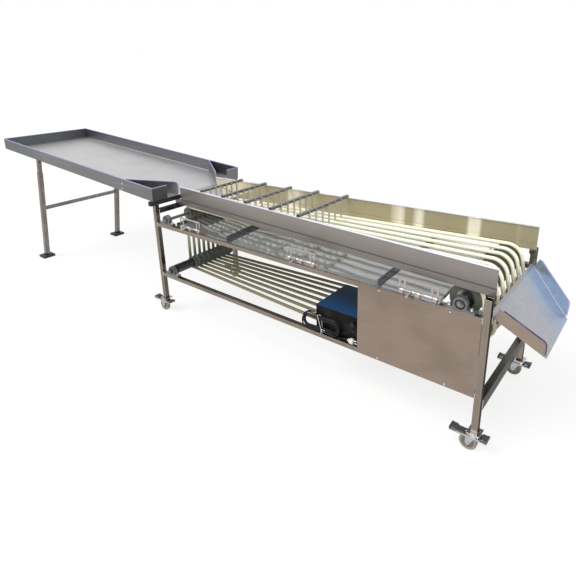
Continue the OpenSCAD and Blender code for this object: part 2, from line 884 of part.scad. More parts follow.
// End chute in its own sloped frame: the upper edge at x = 0, the underside at z = 0
chute_len = chute_reach / cos(chute_tilt);
chute_half = inner_y;
far_set = 25;
function chute_top(side) = chute_half - (side < 0 ? 0 : far_set);
function chute_edge(side) = chute_top(side) - (side < 0 ? 10 : chute_narrow);
function chute_turn(side) = atan2(chute_top(side) - chute_edge(side), chute_len);
function chute_side(side) = (chute_len - trim_h - 5) / cos(chute_turn(side));
function chute_lean(side) = tan(chute_tilt) / cos(chute_turn(side));

module chute_frame() {
    translate([frame_len, 0, upper_rail_z]) rotate([0, chute_tilt, 0]) children();
}

// Line along one side of the chute, from its upper corner, with +Y pointing inwards on the near side
module chute_line(side) {
    translate([0, side * chute_top(side), 0]) rotate([0, 0, -side * chute_turn(side)])
        translate([0, side > 0 ? -sheet : 0, 0]) children();
}

module end_chute() {
    hook = end_tie_w - 2;
    end = chute_len - sheet * tan(chute_tilt);
    near = -chute_top(-1);
    far = chute_top(1);
    color("gainsboro") place() {
        translate([frame_len - hook, near + 3, upper_rail_z]) cube([hook + 1, 2 * chute_half - 6, sheet]);
        chute_frame() {
            linear_extrude(sheet) polygon([
                [-sheet, near + 4], [0, near + 4], [0, near], [end, -chute_edge(-1)], [end, chute_edge(1)],
                [0, far], [-sheet, far]
            ]);
            for (side = [-1, 1]) chute_line(side) round_wall(chute_side(side), chute_wall_h, chute_lean(side));
        }
    }
}

// Control box: a front and floor in one sheet, closed by a cover
knob_shaft = 6;
knob_deep = 12;
switch_w = 26;
switch_h = 16;
switch_deep = 10;
pin_d = 3;
module control_box() {
    frame = 4;
    color("black") place() difference() {
        union() {
            translate([cover_x, cover_y, shelf_z]) cube([cover_len, cover_depth, sheet]);
            translate([cover_x, cover_y, shelf_z]) cube([cover_len, sheet, cover_z - sheet - shelf_z]);
            translate([knob_x, cover_y, knob_z]) rod_y(16, 0, sheet + knob_deep + 2);
            translate([knob_x - switch_w / 2 - frame, cover_y, switch_z - switch_h / 2 - frame])
                cube([switch_w + 2 * frame, switch_deep + frame, switch_h + 2 * frame]);
        }
        translate([knob_x, cover_y, knob_z]) rod_y(knob_shaft + 2 * run_fit, -1, sheet + knob_deep);
        translate([knob_x - switch_w / 2, cover_y - 1, switch_z - switch_h / 2])
            cube([switch_w, switch_deep + 1, switch_h]);
        translate([knob_x, cover_y + 5, switch_z])
            rod_x(pin_d + 2 * run_fit, -switch_w / 2 - 3.5, switch_w / 2 + 3.5);
    }
}

module control_cover() {
    low = shelf_z + sheet;
    high = cover_z - sheet - low;
    color("midnightblue") place() {
        translate([cover_x, cover_y, cover_z - sheet]) cube([cover_len, cover_depth, sheet]);
        for (x = [cover_x, cover_x + cover_len - sheet])
            translate([x, cover_y + sheet, low]) cube([sheet, cover_depth - sheet, high]);
        translate([cover_x, cover_y + cover_depth - sheet, low]) cube([cover_len, sheet, high]);
    }
}

module speed_knob() {
    grip_h = 15;
    skirt_h = 4;
    grip_r = knob_d * 0.4;
    flute_r = 2;
    color("black") place() translate([knob_x, cover_y, knob_z]) {
        rod_y(knob_shaft, -body_gap - 1, sheet + knob_deep - 1);
        rod_y(knob_d, -body_gap - skirt_h, -body_gap);
        profile_y(-body_gap - grip_h, -body_gap - 1) difference() {
            circle(r = grip_r);
            for (a = [0:30:330]) rotate(a) translate([grip_r + 0.6, 0]) circle(r = flute_r);
        }
    }
}

module power_switch() {
    gap = 0.6;
    wide = switch_w - 2 * gap;
    tall = switch_h - 3;
    color("firebrick") place() translate([knob_x, cover_y, switch_z]) {
        profile_x(-wide / 2, wide / 2) polygon([
            [1, -tall / 2], [8, -tall / 2 + 2], [8, tall / 2 - 2], [1, tall / 2], [-3, tall / 2 - 1], [0, 0],
            [-1, -tall / 2 + 1]
        ]);
        translate([0, 5, 0]) rod_x(pin_d, -switch_w / 2 - 3, switch_w / 2 + 3);
    }
}

// Cable gland and mains cord
module cable_gland() {
    nut = 8;
    body = 8;
    color("goldenrod") place() translate([cover_x, gland_y, gland_z]) rotate([0, -90, 0]) {
        cylinder(d = 24, h = nut, $fn = 6);
        translate([0, 0, nut]) cylinder(d = 20, h = body);
        translate([0, 0, nut + body]) cylinder(d1 = 20, d2 = 12, h = gland_len - nut - body);
    }
}

function hank_r(t) = hank_fold + hank_step * min(hank_loops / 2, abs(t - hank_loops / 2));
function ease(u) = u <= 0 ? 0 : u >= 1 ? 1 : u * u * (3 - 2 * u);
function hank_lift(t) = hank_layer * ease(4 * (t - hank_loops / 2));
function drawn(r, x) = r * (1 - hank_waist * pow(cos(90 * x / hank_half_run), 2));
function hank_point(t) =
    let (
        u = t - floor(t),
        leg = floor(4 * u),
        part = 4 * u - leg,
        r = hank_r(t),
        along = hank_half_run * (2 * part - 1),
        a = 180 * part,
        xz = leg == 0 ? [along, -drawn(r, along)]
            : leg == 1 ? [hank_half_run + r * sin(a), -r * cos(a)]
            : leg == 2 ? [-along, drawn(r, along)]
            : [-hank_half_run - r * sin(a), r * cos(a)]
    )
    [hank_x + xz[0], hank_y + hank_lift(t), hank_z + xz[1]];

hank_turns = hank_loops + 0.25;
hank_path = concat([for (k = [0:hank_turns * loop_rings]) hank_point(k / loop_rings)], tail_points);
hank_gap = min([
    for (i = [0:len(hank_path) - 1], j = [i + loop_rings / 2:1:len(hank_path) - 1])
        norm(hank_path[i] - hank_path[j])
]) - cord_d;
echo(str("least gap between the loops of the hank: ", hank_gap, " mm"));

module cord_lead() {
    color("black") place() swept_tube(lead_points, cord_d, 8);
}

module cord_hank() {
    color("black") place() swept_tube(hank_path, cord_d, 6);
}

module cord_tie() {
    tie_w = 7;
    tie_t = 1.2;
    slack = 0.4;
    high = 2 * drawn(hank_fold + hank_step * hank_loops / 2, 0) + cord_d + 2 * slack;
    deep = hank_layer + cord_d + 2 * slack;
    front = hank_y - cord_d / 2 - slack;
    knot_z = hank_z - high / 4;
    color("white") place() {
        translate([hank_x - tie_w / 2, front, hank_z - high / 2]) difference() {
            translate([0, -tie_t, -tie_t]) cube([tie_w, deep + 2 * tie_t, high + 2 * tie_t]);
            translate([-1, 0, 0]) cube([tie_w + 2, deep, high]);
        }
        translate([hank_x, front - tie_t - 2, knot_z]) {
            sphere(d = 9);
            rotate([0, 155, 0]) cylinder(d = 3, h = 26);
            rotate([0, 60, 0]) cylinder(d = 3, h = 24);
        }
    }
}

module mains_plug() {
    pin_gap = 14;
    grip = 14;
    body = 22;
    color("white") place() translate(plug_at) {
        rotate([0, 90, 0]) cylinder(d1 = 13, d2 = plug_d, h = grip);
        translate([grip, 0, 0]) rod_x(plug_d, 0, body);
        for (s = [-1, 1]) translate([grip + body, 0, s * pin_gap / 2]) rod_x(4.8, 0, 19);
    }
}

// Drive below the bed
module equipment_shelf() {
    half = inner_y + shelf_lap;
    end = guide_x - block_len / 2 - 8;
    color("gray") place() translate([cover_x, -half, lower_rail_z])
        cube([end - cover_x, 2 * half, shelf_t]);
}

box_front = -12;
box_deep = 50;
motor_len = 170;
out_shaft = 16;
module gearmotor() {
    r = motor_d / 2;
    ribs = 9;
    rib_step = motor_len / (ribs + 3);
    color("steelblue") place() difference() {
        union() {
            translate([motor_x - 45, box_front - box_deep, shelf_z]) cube([90, box_deep, 120]);
            translate([motor_x, 0, motor_z]) {
                rod_y(2 * r - 8, box_front - box_deep - motor_len, box_front - box_deep);
                for (k = [1:ribs]) rod_y(2 * r, box_front - box_deep - (k + 1) * rib_step,
                                         box_front - box_deep - (k + 1) * rib_step + rib_step / 3);
            }
            translate([motor_x - 50, box_front - box_deep - 120, shelf_z]) cube([100, 90, 18]);
        }
        translate([motor_x, 0, motor_z])
            rod_y(out_shaft + 2 * run_fit, box_front - box_deep + 12, box_front + 1);
    }
}

module pulley(bore_r, line_r) {
    groove_r = line_r - belt_t / 2 - rope_clear;
    flange_r = line_r + 3;
    half = belt_w / 2 + 0.8;
    rotate([90, 0, 0]) rotate_extrude() polygon([
        [bore_r, -pulley_w / 2], [flange_r, -pulley_w / 2], [flange_r, -half], [groove_r, -half],
        [groove_r, half], [flange_r, half], [flange_r, pulley_w / 2], [bore_r, pulley_w / 2]
    ]);
}

module motor_pulley() {
    color("dimgray") place() translate([motor_x, 0, motor_z]) {
        rod_y(out_shaft, box_front - box_deep + 14, pulley_w / 2 + 2);
        pulley(out_shaft / 2, motor_pulley_r);
    }
}

module drum_pulley() {
    color("dimgray") place() translate([drum_x, 0, top_shaft_z]) pulley(drum_sleeve / 2, drum_pulley_r);
}

module drive_belt() {
    path = [[motor_x, motor_z, motor_pulley_r], [drum_x, top_shaft_z, drum_pulley_r]];
    steps = 24;
    color("black") place() profile_y(-belt_w / 2, belt_w / 2) difference() {
        polygon(loop_points(path, belt_t / 2, steps));
        polygon(loop_points(path, -belt_t / 2, steps));
    }
}

// Casters below the four legs: leg side 0 is the feed end, side -1 is the near side
plate_size = 60;
king_d = 12;
axle_d = 10;
fork_t = 3;
fork_y = wheel_w / 2 + 3;
pivot_z = wheel_d - 2;
pivot_d = 6;
module at_leg(end, side) {
    place() translate([leg_tube / 2 + end * (frame_len - leg_tube), side * rail_y, 0]) children();
}

module caster_plates() {
    color("silver") for (end = [0, 1], side = [-1, 1]) at_leg(end, side) difference() {
        translate([-plate_size / 2, -plate_size / 2, leg_base - plate_t])
            cube([plate_size, plate_size, plate_t]);
        translate([0, 0, leg_base - plate_t - 1]) cylinder(d = king_d + 2 * run_fit, h = plate_t + 2);
    }
}

module caster_fork(end, side) {
    disc_top = leg_base - plate_t - swivel_gap;
    disc_r = 24;
    color("silver") at_leg(end, side) {
        translate([0, 0, disc_top - fork_disc_h]) cylinder(r = disc_r, h = fork_disc_h);
        translate([0, 0, disc_top - 1]) cylinder(d = king_d, h = leg_base + 3 - disc_top + 1);
        both_sides() profile_y(-fork_y - fork_t, -fork_y) {
            polygon([
                [-caster_trail - 10, wheel_d / 2], [-caster_trail + 10, wheel_d / 2],
                [16, disc_top - fork_disc_h], [16, disc_top - 2], [-18, disc_top - 2],
                [-caster_trail - 10, pivot_z]
            ]);
            translate([-caster_trail, wheel_d / 2]) circle(r = 10);
        }
        translate([-caster_trail, 0, wheel_d / 2]) rod_y(axle_d, -fork_y - fork_t - 3, fork_y + fork_t + 3);
        both_sides() translate([-caster_trail, 0, pivot_z])
            rod_y(pivot_d, -fork_y - fork_t - 6, -fork_y - 1);
    }
}

module caster_wheel(end, side) {
    r = wheel_d / 2;
    w = wheel_w / 2;
    color("darkkhaki") at_leg(end, side) translate([-caster_trail, 0, r]) rotate([90, 0, 0]) rotate_extrude()
        polygon([
            [axle_d / 2 + run_fit, -w - 2], [11, -w - 2], [11, -w + 5], [r - 13, -w + 5], [r - 12, -w],
            [r - 2, -w], [r, -w + 3], [r, w - 3], [r - 2, w], [r - 12, w], [r - 13, w - 5], [11, w - 5],
            [11, w + 2], [axle_d / 2 + run_fit, w + 2]
        ]);
}

module brake_pedal(end, side) {
    arm_t = 3;
    arm_h = 10;
    arm_y = fork_y + fork_t + 1;
    pad_len = 28;
    pad_w = 2 * (arm_y + arm_t);
    pad_t = 12;
    color("dimgray") at_leg(end, side) translate([-caster_trail, 0, 0]) difference() {
        union() {
            both_sides() {
                translate([-pedal_reach, -arm_y - arm_t, pivot_z - arm_h / 2])
                    cube([2 * pedal_reach, arm_t, arm_h]);
                translate([0, 0, pivot_z]) rod_y(arm_h + 4, -arm_y - arm_t, -arm_y);
            }
            for (s = [-1, 1]) translate([s * (pedal_reach - pad_len / 2) - pad_len / 2, -pad_w / 2, pivot_z])
                cube([pad_len, pad_w, pad_t]);
        }
        both_sides() translate([0, 0, pivot_z]) rod_y(pivot_d + 2 * run_fit, -arm_y - arm_t - 1, -arm_y + 1);
    }
}

module caster_fork_nl() { caster_fork(0, -1); }
module caster_fork_nr() { caster_fork(1, -1); }
module caster_fork_fl() { caster_fork(0, 1); }
module caster_fork_fr() { caster_fork(1, 1); }
module caster_wheel_nl() { caster_wheel(0, -1); }
module caster_wheel_nr() { caster_wheel(1, -1); }
module caster_wheel_fl() { caster_wheel(0, 1); }
module caster_wheel_fr() { caster_wheel(1, 1); }
module brake_pedal_nl() { brake_pedal(0, -1); }
module brake_pedal_nr() { brake_pedal(1, -1); }
module brake_pedal_fl() { brake_pedal(0, 1); }
module brake_pedal_fr() { brake_pedal(1, 1); }

frame_legs();
upper_rails();
lower_rails();
cross_ties();
bed_rails();
feed_crossbar();
crossbar_caps();
bed_walls();
lane_guides();
screw_heads();
feed_tray();
edge_trim();
stand_inner_tubes();
stand_frame();
infeed_roller();
infeed_sheaves();
return_roller();
return_sheaves();
drive_shaft();
drive_sheaves();
snub_roller();
guide_roller();
pillow_blocks();
block_bolts();
rope_runs();
rope_turns();
collecting_trays();
outlet_gate_1();
outlet_gate_2();
outlet_gate_3();
gate_hinges();
side_panel();
end_chute();
control_box();
control_cover();
speed_knob();
power_switch();
cable_gland();
cord_lead();
cord_hank();
cord_tie();
mains_plug();
gearmotor();
motor_pulley();
drum_pulley();
drive_belt();
equipment_shelf();
caster_plates();
caster_fork_nl();
caster_fork_nr();
caster_fork_fl();
caster_fork_fr();
caster_wheel_nl();
caster_wheel_nr();
caster_wheel_fl();
caster_wheel_fr();
brake_pedal_nl();
brake_pedal_nr();
brake_pedal_fl();
brake_pedal_fr();
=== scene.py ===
"""Looks of a rope-type fruit grading machine: its finishes, ropes, mains cord, welds and fittings."""

import math

import bmesh
import bpy
from bpy.props import FloatProperty, FloatVectorProperty, IntProperty, PointerProperty
from mathutils import Color, Matrix, Vector


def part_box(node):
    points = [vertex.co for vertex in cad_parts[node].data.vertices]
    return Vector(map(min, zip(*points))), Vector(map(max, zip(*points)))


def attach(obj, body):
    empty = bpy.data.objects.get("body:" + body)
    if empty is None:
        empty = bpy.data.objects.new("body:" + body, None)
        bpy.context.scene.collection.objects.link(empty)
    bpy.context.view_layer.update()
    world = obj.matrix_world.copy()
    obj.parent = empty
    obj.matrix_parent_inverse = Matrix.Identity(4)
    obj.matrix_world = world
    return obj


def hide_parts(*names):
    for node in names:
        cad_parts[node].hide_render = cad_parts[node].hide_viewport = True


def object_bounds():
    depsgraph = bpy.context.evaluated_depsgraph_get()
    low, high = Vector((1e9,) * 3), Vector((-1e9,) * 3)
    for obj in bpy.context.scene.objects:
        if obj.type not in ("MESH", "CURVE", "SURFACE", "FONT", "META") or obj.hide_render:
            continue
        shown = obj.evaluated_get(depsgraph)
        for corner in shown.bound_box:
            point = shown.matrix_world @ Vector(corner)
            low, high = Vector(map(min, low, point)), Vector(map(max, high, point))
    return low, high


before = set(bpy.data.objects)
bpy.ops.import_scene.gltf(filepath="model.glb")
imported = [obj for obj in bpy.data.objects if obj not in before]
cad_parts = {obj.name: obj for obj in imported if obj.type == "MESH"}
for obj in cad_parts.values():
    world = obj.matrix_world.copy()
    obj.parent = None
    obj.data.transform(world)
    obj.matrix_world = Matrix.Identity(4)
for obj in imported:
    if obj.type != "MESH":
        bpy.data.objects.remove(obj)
CAD_BOX = [list(corner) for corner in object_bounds()]

bl_info = {
    "name": "Fruit grading machine",
    "version": (1, 0, 0),
    "blender": (4, 5, 0),
    "location": "View3D > Sidebar > Grader",
    "description": "Dresses a rope-type fruit grading machine with its finishes, ropes, cord and fittings",
    "category": "Object",
}

MM = 0.001
# The frame's feed end, which the cord's points are measured from
FEED_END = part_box("frame_legs")[0].x
# Edges sharper than this stay edges, or are rounded
SHARP = math.radians(40)
# Casters on the near or far side, at the left or right end
CASTERS = ("nl", "nr", "fl", "fr")


def colour_property(name, description, default):
    """A colour as it looks on screen."""
    return FloatVectorProperty(
        name=name, description=description, default=default, size=3, min=0.0, max=1.0, subtype="COLOR_GAMMA"
    )


def length_property(name, description, default):
    """A length in metres."""
    return FloatProperty(name=name, description=description, default=default, min=0.0, unit="LENGTH")


def angle_property(name, description, degrees):
    """An angle, given in degrees and kept in radians."""
    return FloatProperty(name=name, description=description, default=math.radians(degrees), subtype="ANGLE")


class GraderView(bpy.types.PropertyGroup):
    """Where the camera stands and what it takes in."""

    place: FloatVectorProperty(
        name="Place", description="Camera place in the machine's frame",
        default=(2.55543, -2.17710, 1.68163), size=3, subtype="XYZ", unit="LENGTH",
    )
    azimuth: angle_property("Azimuth", "Turn of the camera round the machine", 38.7531)
    elevation: angle_property("Elevation", "Height of the camera over the horizon", 18.4388)
    roll: angle_property("Roll", "Tilt of the camera about its own axis", -1.34857)
    lens: FloatProperty(name="Lens", description="Focal length in millimetres", default=30.4967, min=1.0)
    shift: FloatVectorProperty(
        name="Shift", description="Shift of the frame from the lens axis",
        default=(-0.02098, -0.11476), size=2,
    )


class GraderColours(bpy.types.PropertyGroup):
    """Colours of the finishes."""

    # Painted reflection: the warm pinkish-brown of upright stainless faces stands in for reflected brown
    # ground
    steel_side: colour_property("Steel sides", "Satin stainless on upright faces", (0.575, 0.520, 0.470))
    # Painted shade: faces turned to the discharge end are darker, for the side away from the key light
    steel_end_shade: colour_property("Steel ends", "Faces turned to the discharge end", (0.36, 0.34, 0.34))
    # Painted shade: upper faces of the upper rails and of the side panel are darker than their sides
    rail_top_shade: colour_property("Rail tops", "Upper faces of the frame's upper rails", (0.42, 0.41, 0.42))
    # Painted shade: the lower rails' upper faces lie under the machine and are darker
    low_top_shade: colour_property("Lower rail tops", "Upper faces of the frame's lower rails", (0.40, 0.385, 0.36))
    stand: colour_property("Stand", "Satin stainless of the tray stand", (0.47, 0.44, 0.425))
    tie: colour_property("Cross ties", "Satin stainless of the cross ties", (0.37, 0.36, 0.35))
    # Painted reflection: the panel's warm pinkish-brown, also on the chute's near wall, stands in for
    # reflected brown ground
    panel: colour_property("Side panel", "Satin stainless of the side panel", (0.592, 0.525, 0.470))
    # Painted reflection: the brownish grey of the bed walls' outer faces stands in for reflected ground
    wall_out: colour_property("Walls outside", "Outer faces of the bed walls", (0.52, 0.495, 0.475))
    # Painted reflection: the bed walls' inner faces, with bright painted glints
    wall_dim: colour_property("Walls inside, dim", "Inner faces between the glints", (0.78, 0.74, 0.62))
    wall_lit: colour_property("Walls inside, lit", "Glints on the inner faces", (1.0, 0.98, 0.92))
    # Painted highlight: the bright lips and upper faces of the bed walls
    wall_lip: colour_property("Wall lips", "Folded upper edges of the bed walls", (0.84, 0.85, 0.90))
    # Painted light on the tray's upward faces, and painted shade on its inner walls
    tray_floor: colour_property("Tray floor", "Matt stainless of the feed tray", (0.785, 0.78, 0.785))
    tray_side: colour_property("Tray sides", "Satin stainless of the tray walls", (0.47, 0.46, 0.46))
    tray_in: colour_property("Tray walls inside", "Inner faces of the tray walls", (0.43, 0.43, 0.45))
    tray_cool: colour_property("Tray side, left", "Left of the tray's outer sides", (0.35, 0.39, 0.39))
    # Painted reflection: the collecting trays' upper faces are lighter and bluish
    outlet_floor: colour_property("Outlet floor", "Stainless of the collecting trays", (0.66, 0.67, 0.70))
    chute_floor: colour_property("Chute floor", "Stainless of the chute's floor", (0.67, 0.68, 0.71))
    chute_far: colour_property("Chute far wall", "Stainless of the chute's far wall", (0.62, 0.69, 0.78))
    dark_steel: colour_property("Dark steel", "Cross bars and guides", (0.40, 0.40, 0.42))
    strap: colour_property("Lane straps", "Hanging straps of the lane guides", (0.80, 0.80, 0.80))
    bright: colour_property("Bright metal", "Screws and bends", (0.84, 0.83, 0.83))
    plating: colour_property("Caster plating", "Plates, forks and pedals of the casters", (0.76, 0.76, 0.77))
    shaft: colour_property("Shafts", "Turned steel of the shafts", (0.55, 0.55, 0.55))
    # Painted shade: the bed rails' upper faces, under the walls, are dark
    bed_rail_lip_shade: colour_property("Bed rail tops", "Upper faces of the bed rails", (0.28, 0.28, 0.34))
    gate: colour_property("Gates", "Steel of the outlet gates", (0.74, 0.71, 0.70))
    cast: colour_property("Bearing housings", "Silver paint on the cast housings", (0.46, 0.46, 0.47))
    nylon: colour_property("Sheaves", "Dark nylon of the sheaves", (0.30, 0.325, 0.29))
    rope: colour_property("Ropes", "Cream cover of the ropes", (0.99, 0.98, 0.87))
    # Painted shade: the lower run of the ropes lies under the machine
    rope_low_shade: colour_property("Ropes below", "Rope cover on the lower run", (0.47, 0.455, 0.31))
    edging: colour_property("Edging", "Soft edging on the sheet rims", (0.56, 0.56, 0.74))
    # Painted shade on the chute's near rim and the outlet dividers' edging
    edging_shade: colour_property("Dark edging", "Chute's near rim and the dividers", (0.24, 0.20, 0.36))
    navy: colour_property("Cover enamel", "Glossy enamel of the control cover", (0.05, 0.24, 0.40))
    black: colour_property("Black parts", "Black enamel, plastic and cable", (0.045, 0.045, 0.05))
    white: colour_property("White plastic", "Plug and cord tie", (0.78, 0.775, 0.76))
    red: colour_property("Switch", "Dark red rocker of the switch", (0.19, 0.05, 0.05))
    brass: colour_property("Gland", "Brass of the cable gland", (0.85, 0.66, 0.36))
    wheel: colour_property("Wheels", "Rubber of the caster wheels", (0.51, 0.50, 0.44))
    hub: colour_property("Hubs", "Dull plating of the wheel hubs", (0.50, 0.49, 0.47))
    boot: colour_property("Foot boots", "Rubber boots on the stand's feet", (0.15, 0.17, 0.22))
    pad: colour_property("Pedal covers", "Dark covers of the brake pedals", (0.26, 0.26, 0.27))
    motor: colour_property("Motor", "Enamel of the gearmotor", (0.27, 0.40, 0.52))
    floor: colour_property("Floor", "Pale studio floor", (0.97, 0.97, 0.97))


class GraderSizes(bpy.types.PropertyGroup):
    """Sizes of what is made here."""

    rope_d: length_property("Rope", "Diameter of a rope", 0.020)
    rope_sides: IntProperty(name="Rope sides", description="Faces round a rope", default=20, min=8)
    rope_step: length_property("Rope step", "Spacing of the rings on a rope's straight runs", 0.06)
    cord_d: length_property("Cord", "Diameter of the mains cord", 0.008)
    weld_r: length_property("Weld", "Radius of a weld bead", 0.0026)
    lip_r: length_property("Wall lip", "Radius of the folded lips on the bed walls", 0.0042)
    bend_r: length_property("Bend", "Radius of the bends between floors and far walls", 0.0030)
    boot_h: length_property("Boot", "Height of the rubber boots on the stand's feet", 0.020)


class GraderSettings(bpy.types.PropertyGroup):
    """All settings of the machine's looks."""

    view: PointerProperty(type=GraderView)
    colours: PointerProperty(type=GraderColours)
    sizes: PointerProperty(type=GraderSizes)


def settings():
    """The scene's settings."""
    return bpy.context.scene.grader


def linear(colour):
    """A screen colour as a shader takes it."""
    return (*Color(colour).from_srgb_to_scene_linear(), 1.0)


# Shader building


def add_node(tree, kind, **values):
    """A new shader node, with its settings."""
    made = tree.nodes.new(kind)
    for key, value in values.items():
        setattr(made, key, value)
    return made


def new_finish(name, roughness=0.5, metallic=0.0, **sockets):
    """A material with one principled shader; constants sit on its own sockets."""
    material = bpy.data.materials.new(name)
    material.use_nodes = True
    tree = material.node_tree
    shader = tree.nodes["Principled BSDF"]
    shader.inputs["Roughness"].default_value = roughness
    shader.inputs["Metallic"].default_value = metallic
    for key, value in sockets.items():
        shader.inputs[key.replace("_", " ")].default_value = value
    return material, tree, shader


def grain(tree, stretch, detail):
    """Noise stretched by a factor along each axis, in the part's own metres."""
    coords = add_node(tree, "ShaderNodeTexCoord")
    mapping = add_node(tree, "ShaderNodeMapping")
    mapping.inputs["Scale"].default_value = stretch
    noise = add_node(tree, "ShaderNodeTexNoise")
    noise.inputs["Scale"].default_value = 1.0
    noise.inputs["Detail"].default_value = detail
    tree.links.new(coords.outputs["Object"], mapping.inputs["Vector"])
    tree.links.new(mapping.outputs["Vector"], noise.inputs["Vector"])
    return noise.outputs["Fac"]


def even(value):
    """The same value for each of three axes or colour channels."""
    return (value, value, value)


def ranged(tree, value, low, high, from_low=0.25, from_high=0.75):
    """A value brought from one range to another."""
    made = add_node(tree, "ShaderNodeMapRange")
    made.inputs["From Min"].default_value = from_low
    made.inputs["From Max"].default_value = from_high
    made.inputs["To Min"].default_value = low
    made.inputs["To Max"].default_value = high
    tree.links.new(value, made.inputs["Value"])
    return made.outputs["Result"]


def mixed(tree, factor, first, second, blend="MIX"):
    """Two colours or sockets mixed by a factor socket or number."""
    made = add_node(tree, "ShaderNodeMix", data_type="RGBA", blend_type=blend)
    for key, value in (("Factor", factor), ("A", first), ("B", second)):
        socket = next(s for s in made.inputs if s.name == key and s.enabled)
        if isinstance(value, bpy.types.NodeSocket):
            tree.links.new(value, socket)
        else:
            socket.default_value = value
    return next(s for s in made.outputs if s.enabled)


def bumped(tree, shader, *reliefs):
    """Relief on the shader, from coarse to fine; each layer is a height socket, a strength and a depth."""
    below = None
    for height, strength, depth in reliefs:
        made = add_node(tree, "ShaderNodeBump")
        made.inputs["Strength"].default_value = strength
        made.inputs["Distance"].default_value = depth
        tree.links.new(height, made.inputs["Height"])
        if below is not None:
            tree.links.new(below, made.inputs["Normal"])
        below = made.outputs["Normal"]
    tree.links.new(below, shader.inputs["Normal"])


def weathered(tree, shader, marks, clean, worn, share, span, roughness):
    """A clean tone that turns to a worn one, up to a share, over a span of the marks, and its roughness."""
    tone = mixed(tree, ranged(tree, marks, 0.0, share, *span), clean, worn)
    tree.links.new(tone, shader.inputs["Base Color"])
    tree.links.new(ranged(tree, marks, *roughness), shader.inputs["Roughness"])


def shaded(colour, factor):
    """A colour made darker or lighter."""
    return (*[channel * factor for channel in colour[:3]], 1.0)


def along_axis(tree, output, axis):
    """One part of a surface's place or normal."""
    geometry = add_node(tree, "ShaderNodeNewGeometry")
    split = add_node(tree, "ShaderNodeSeparateXYZ")
    tree.links.new(geometry.outputs[output], split.inputs["Vector"])
    return split.outputs[axis]


def facing(tree, axis):
    """How far a face looks along an axis of the machine, from -1 to 1."""
    return along_axis(tree, "True Normal", axis)


def place(tree, axis):
    """Where a point lies along an axis of the machine, in metres."""
    return along_axis(tree, "Position", axis)


def product(tree, first, second):
    """Two values multiplied."""
    made = add_node(tree, "ShaderNodeMath", operation="MULTIPLY")
    tree.links.new(first, made.inputs[0])
    tree.links.new(second, made.inputs[1])
    return made.outputs["Value"]


def upper_face(tree):
    """1 on faces that look up, else 0."""
    return ranged(tree, facing(tree, "Z"), 0.0, 1.0, 0.35, 0.85)


def outer_face(tree):
    """1 on upright faces that look away from the machine's middle plane, else 0."""
    return ranged(tree, product(tree, facing(tree, "Y"), place(tree, "Y")), 0.0, 1.0, -0.02, 0.02)


# Bends between the floors and the far walls of the tray and the chute, in metres
TRAY_BEND = ((-2.2735, 0.3858, 0.9763), (-0.4310, 0.3858, 0.8475))
CHUTE_BEND = ((2.0640, 0.2990, 0.6690), (2.2660, 0.0680, 0.5612))
# Noise stretches of brush lines and long streaks, by the axis that they run along
BRUSH = {"X": (2.0, 420.0, 420.0), "Y": (420.0, 2.0, 420.0), "Z": (420.0, 420.0, 2.0)}
STREAKS = {"X": (1.1, 75.0, 75.0), "Y": (75.0, 1.1, 75.0), "Z": (75.0, 75.0, 1.1)}
# Linear tones that marks on steel take on
DULLED, STREAK_LIGHT, BRUSH_DARK = (0.62, 0.60, 0.58, 1.0), (0.80, 0.80, 0.80, 1.0), (0.30, 0.29, 0.28, 1.0)
# Depths of brush lines and of a moulded, painted or plated grain
BRUSH_DEPTH, GRAIN_DEPTH = 0.4 * MM, 0.3 * MM
# Spans of noise over which dust, grime and scuffs show
DUSTY, SCUFFED = (0.45, 0.8), (0.5, 0.8)
# Distances before a bed wall's discharge end over which its painted glints fade and its inner face dims with
# painted shade, in metres
GLINTS_FADE, WALL_DIMS = (0.16, 0.06), (1.3, 0.5)
# Painted shade and light on a bed wall: painted shade inside at its discharge end and outside at its foot,
# painted light outside under its lip
END_SHADE, FOOT_SHADE, LIP_SHADE = 0.78, 0.80, 1.15
# The tray's cooler stretch from its left end, and where the far wall's painted reflection on the chute's
# floor fades from its bend, in metres
TRAY_COOLS, CHUTE_FADES = 0.9, (0.05, 0.15)
# Stretch across the chute between its near and far walls, in metres
CHUTE_MIDDLE = (-0.1, 0.1)
# Where painted shade darkens the edging: towards the near side, downwards, and past the chute's start, in
# metres
EDGING_NEAR, EDGING_LOW, EDGING_START = (-0.25, -0.15), (0.74, 0.78), 0.03
# Rope cover: heights over which the painted shade of its lower run fades, its braid, and the tints of its
# grooves, a painted shade, and of its grime
ROPE_SHADE_HEIGHTS = (0.40, 0.72)
BRAID_LEAN, BRAID_SCALE, BRAID_DEPTH = math.radians(35), 110.0, 0.6 * MM
GROOVE_SHADE, GRIME_TINT = (0.80, 0.79, 0.76, 1.0), (0.66, 0.64, 0.58, 1.0)
# Linear tone that the soft edging fades towards
FADED = (0.42, 0.42, 0.46, 1.0)


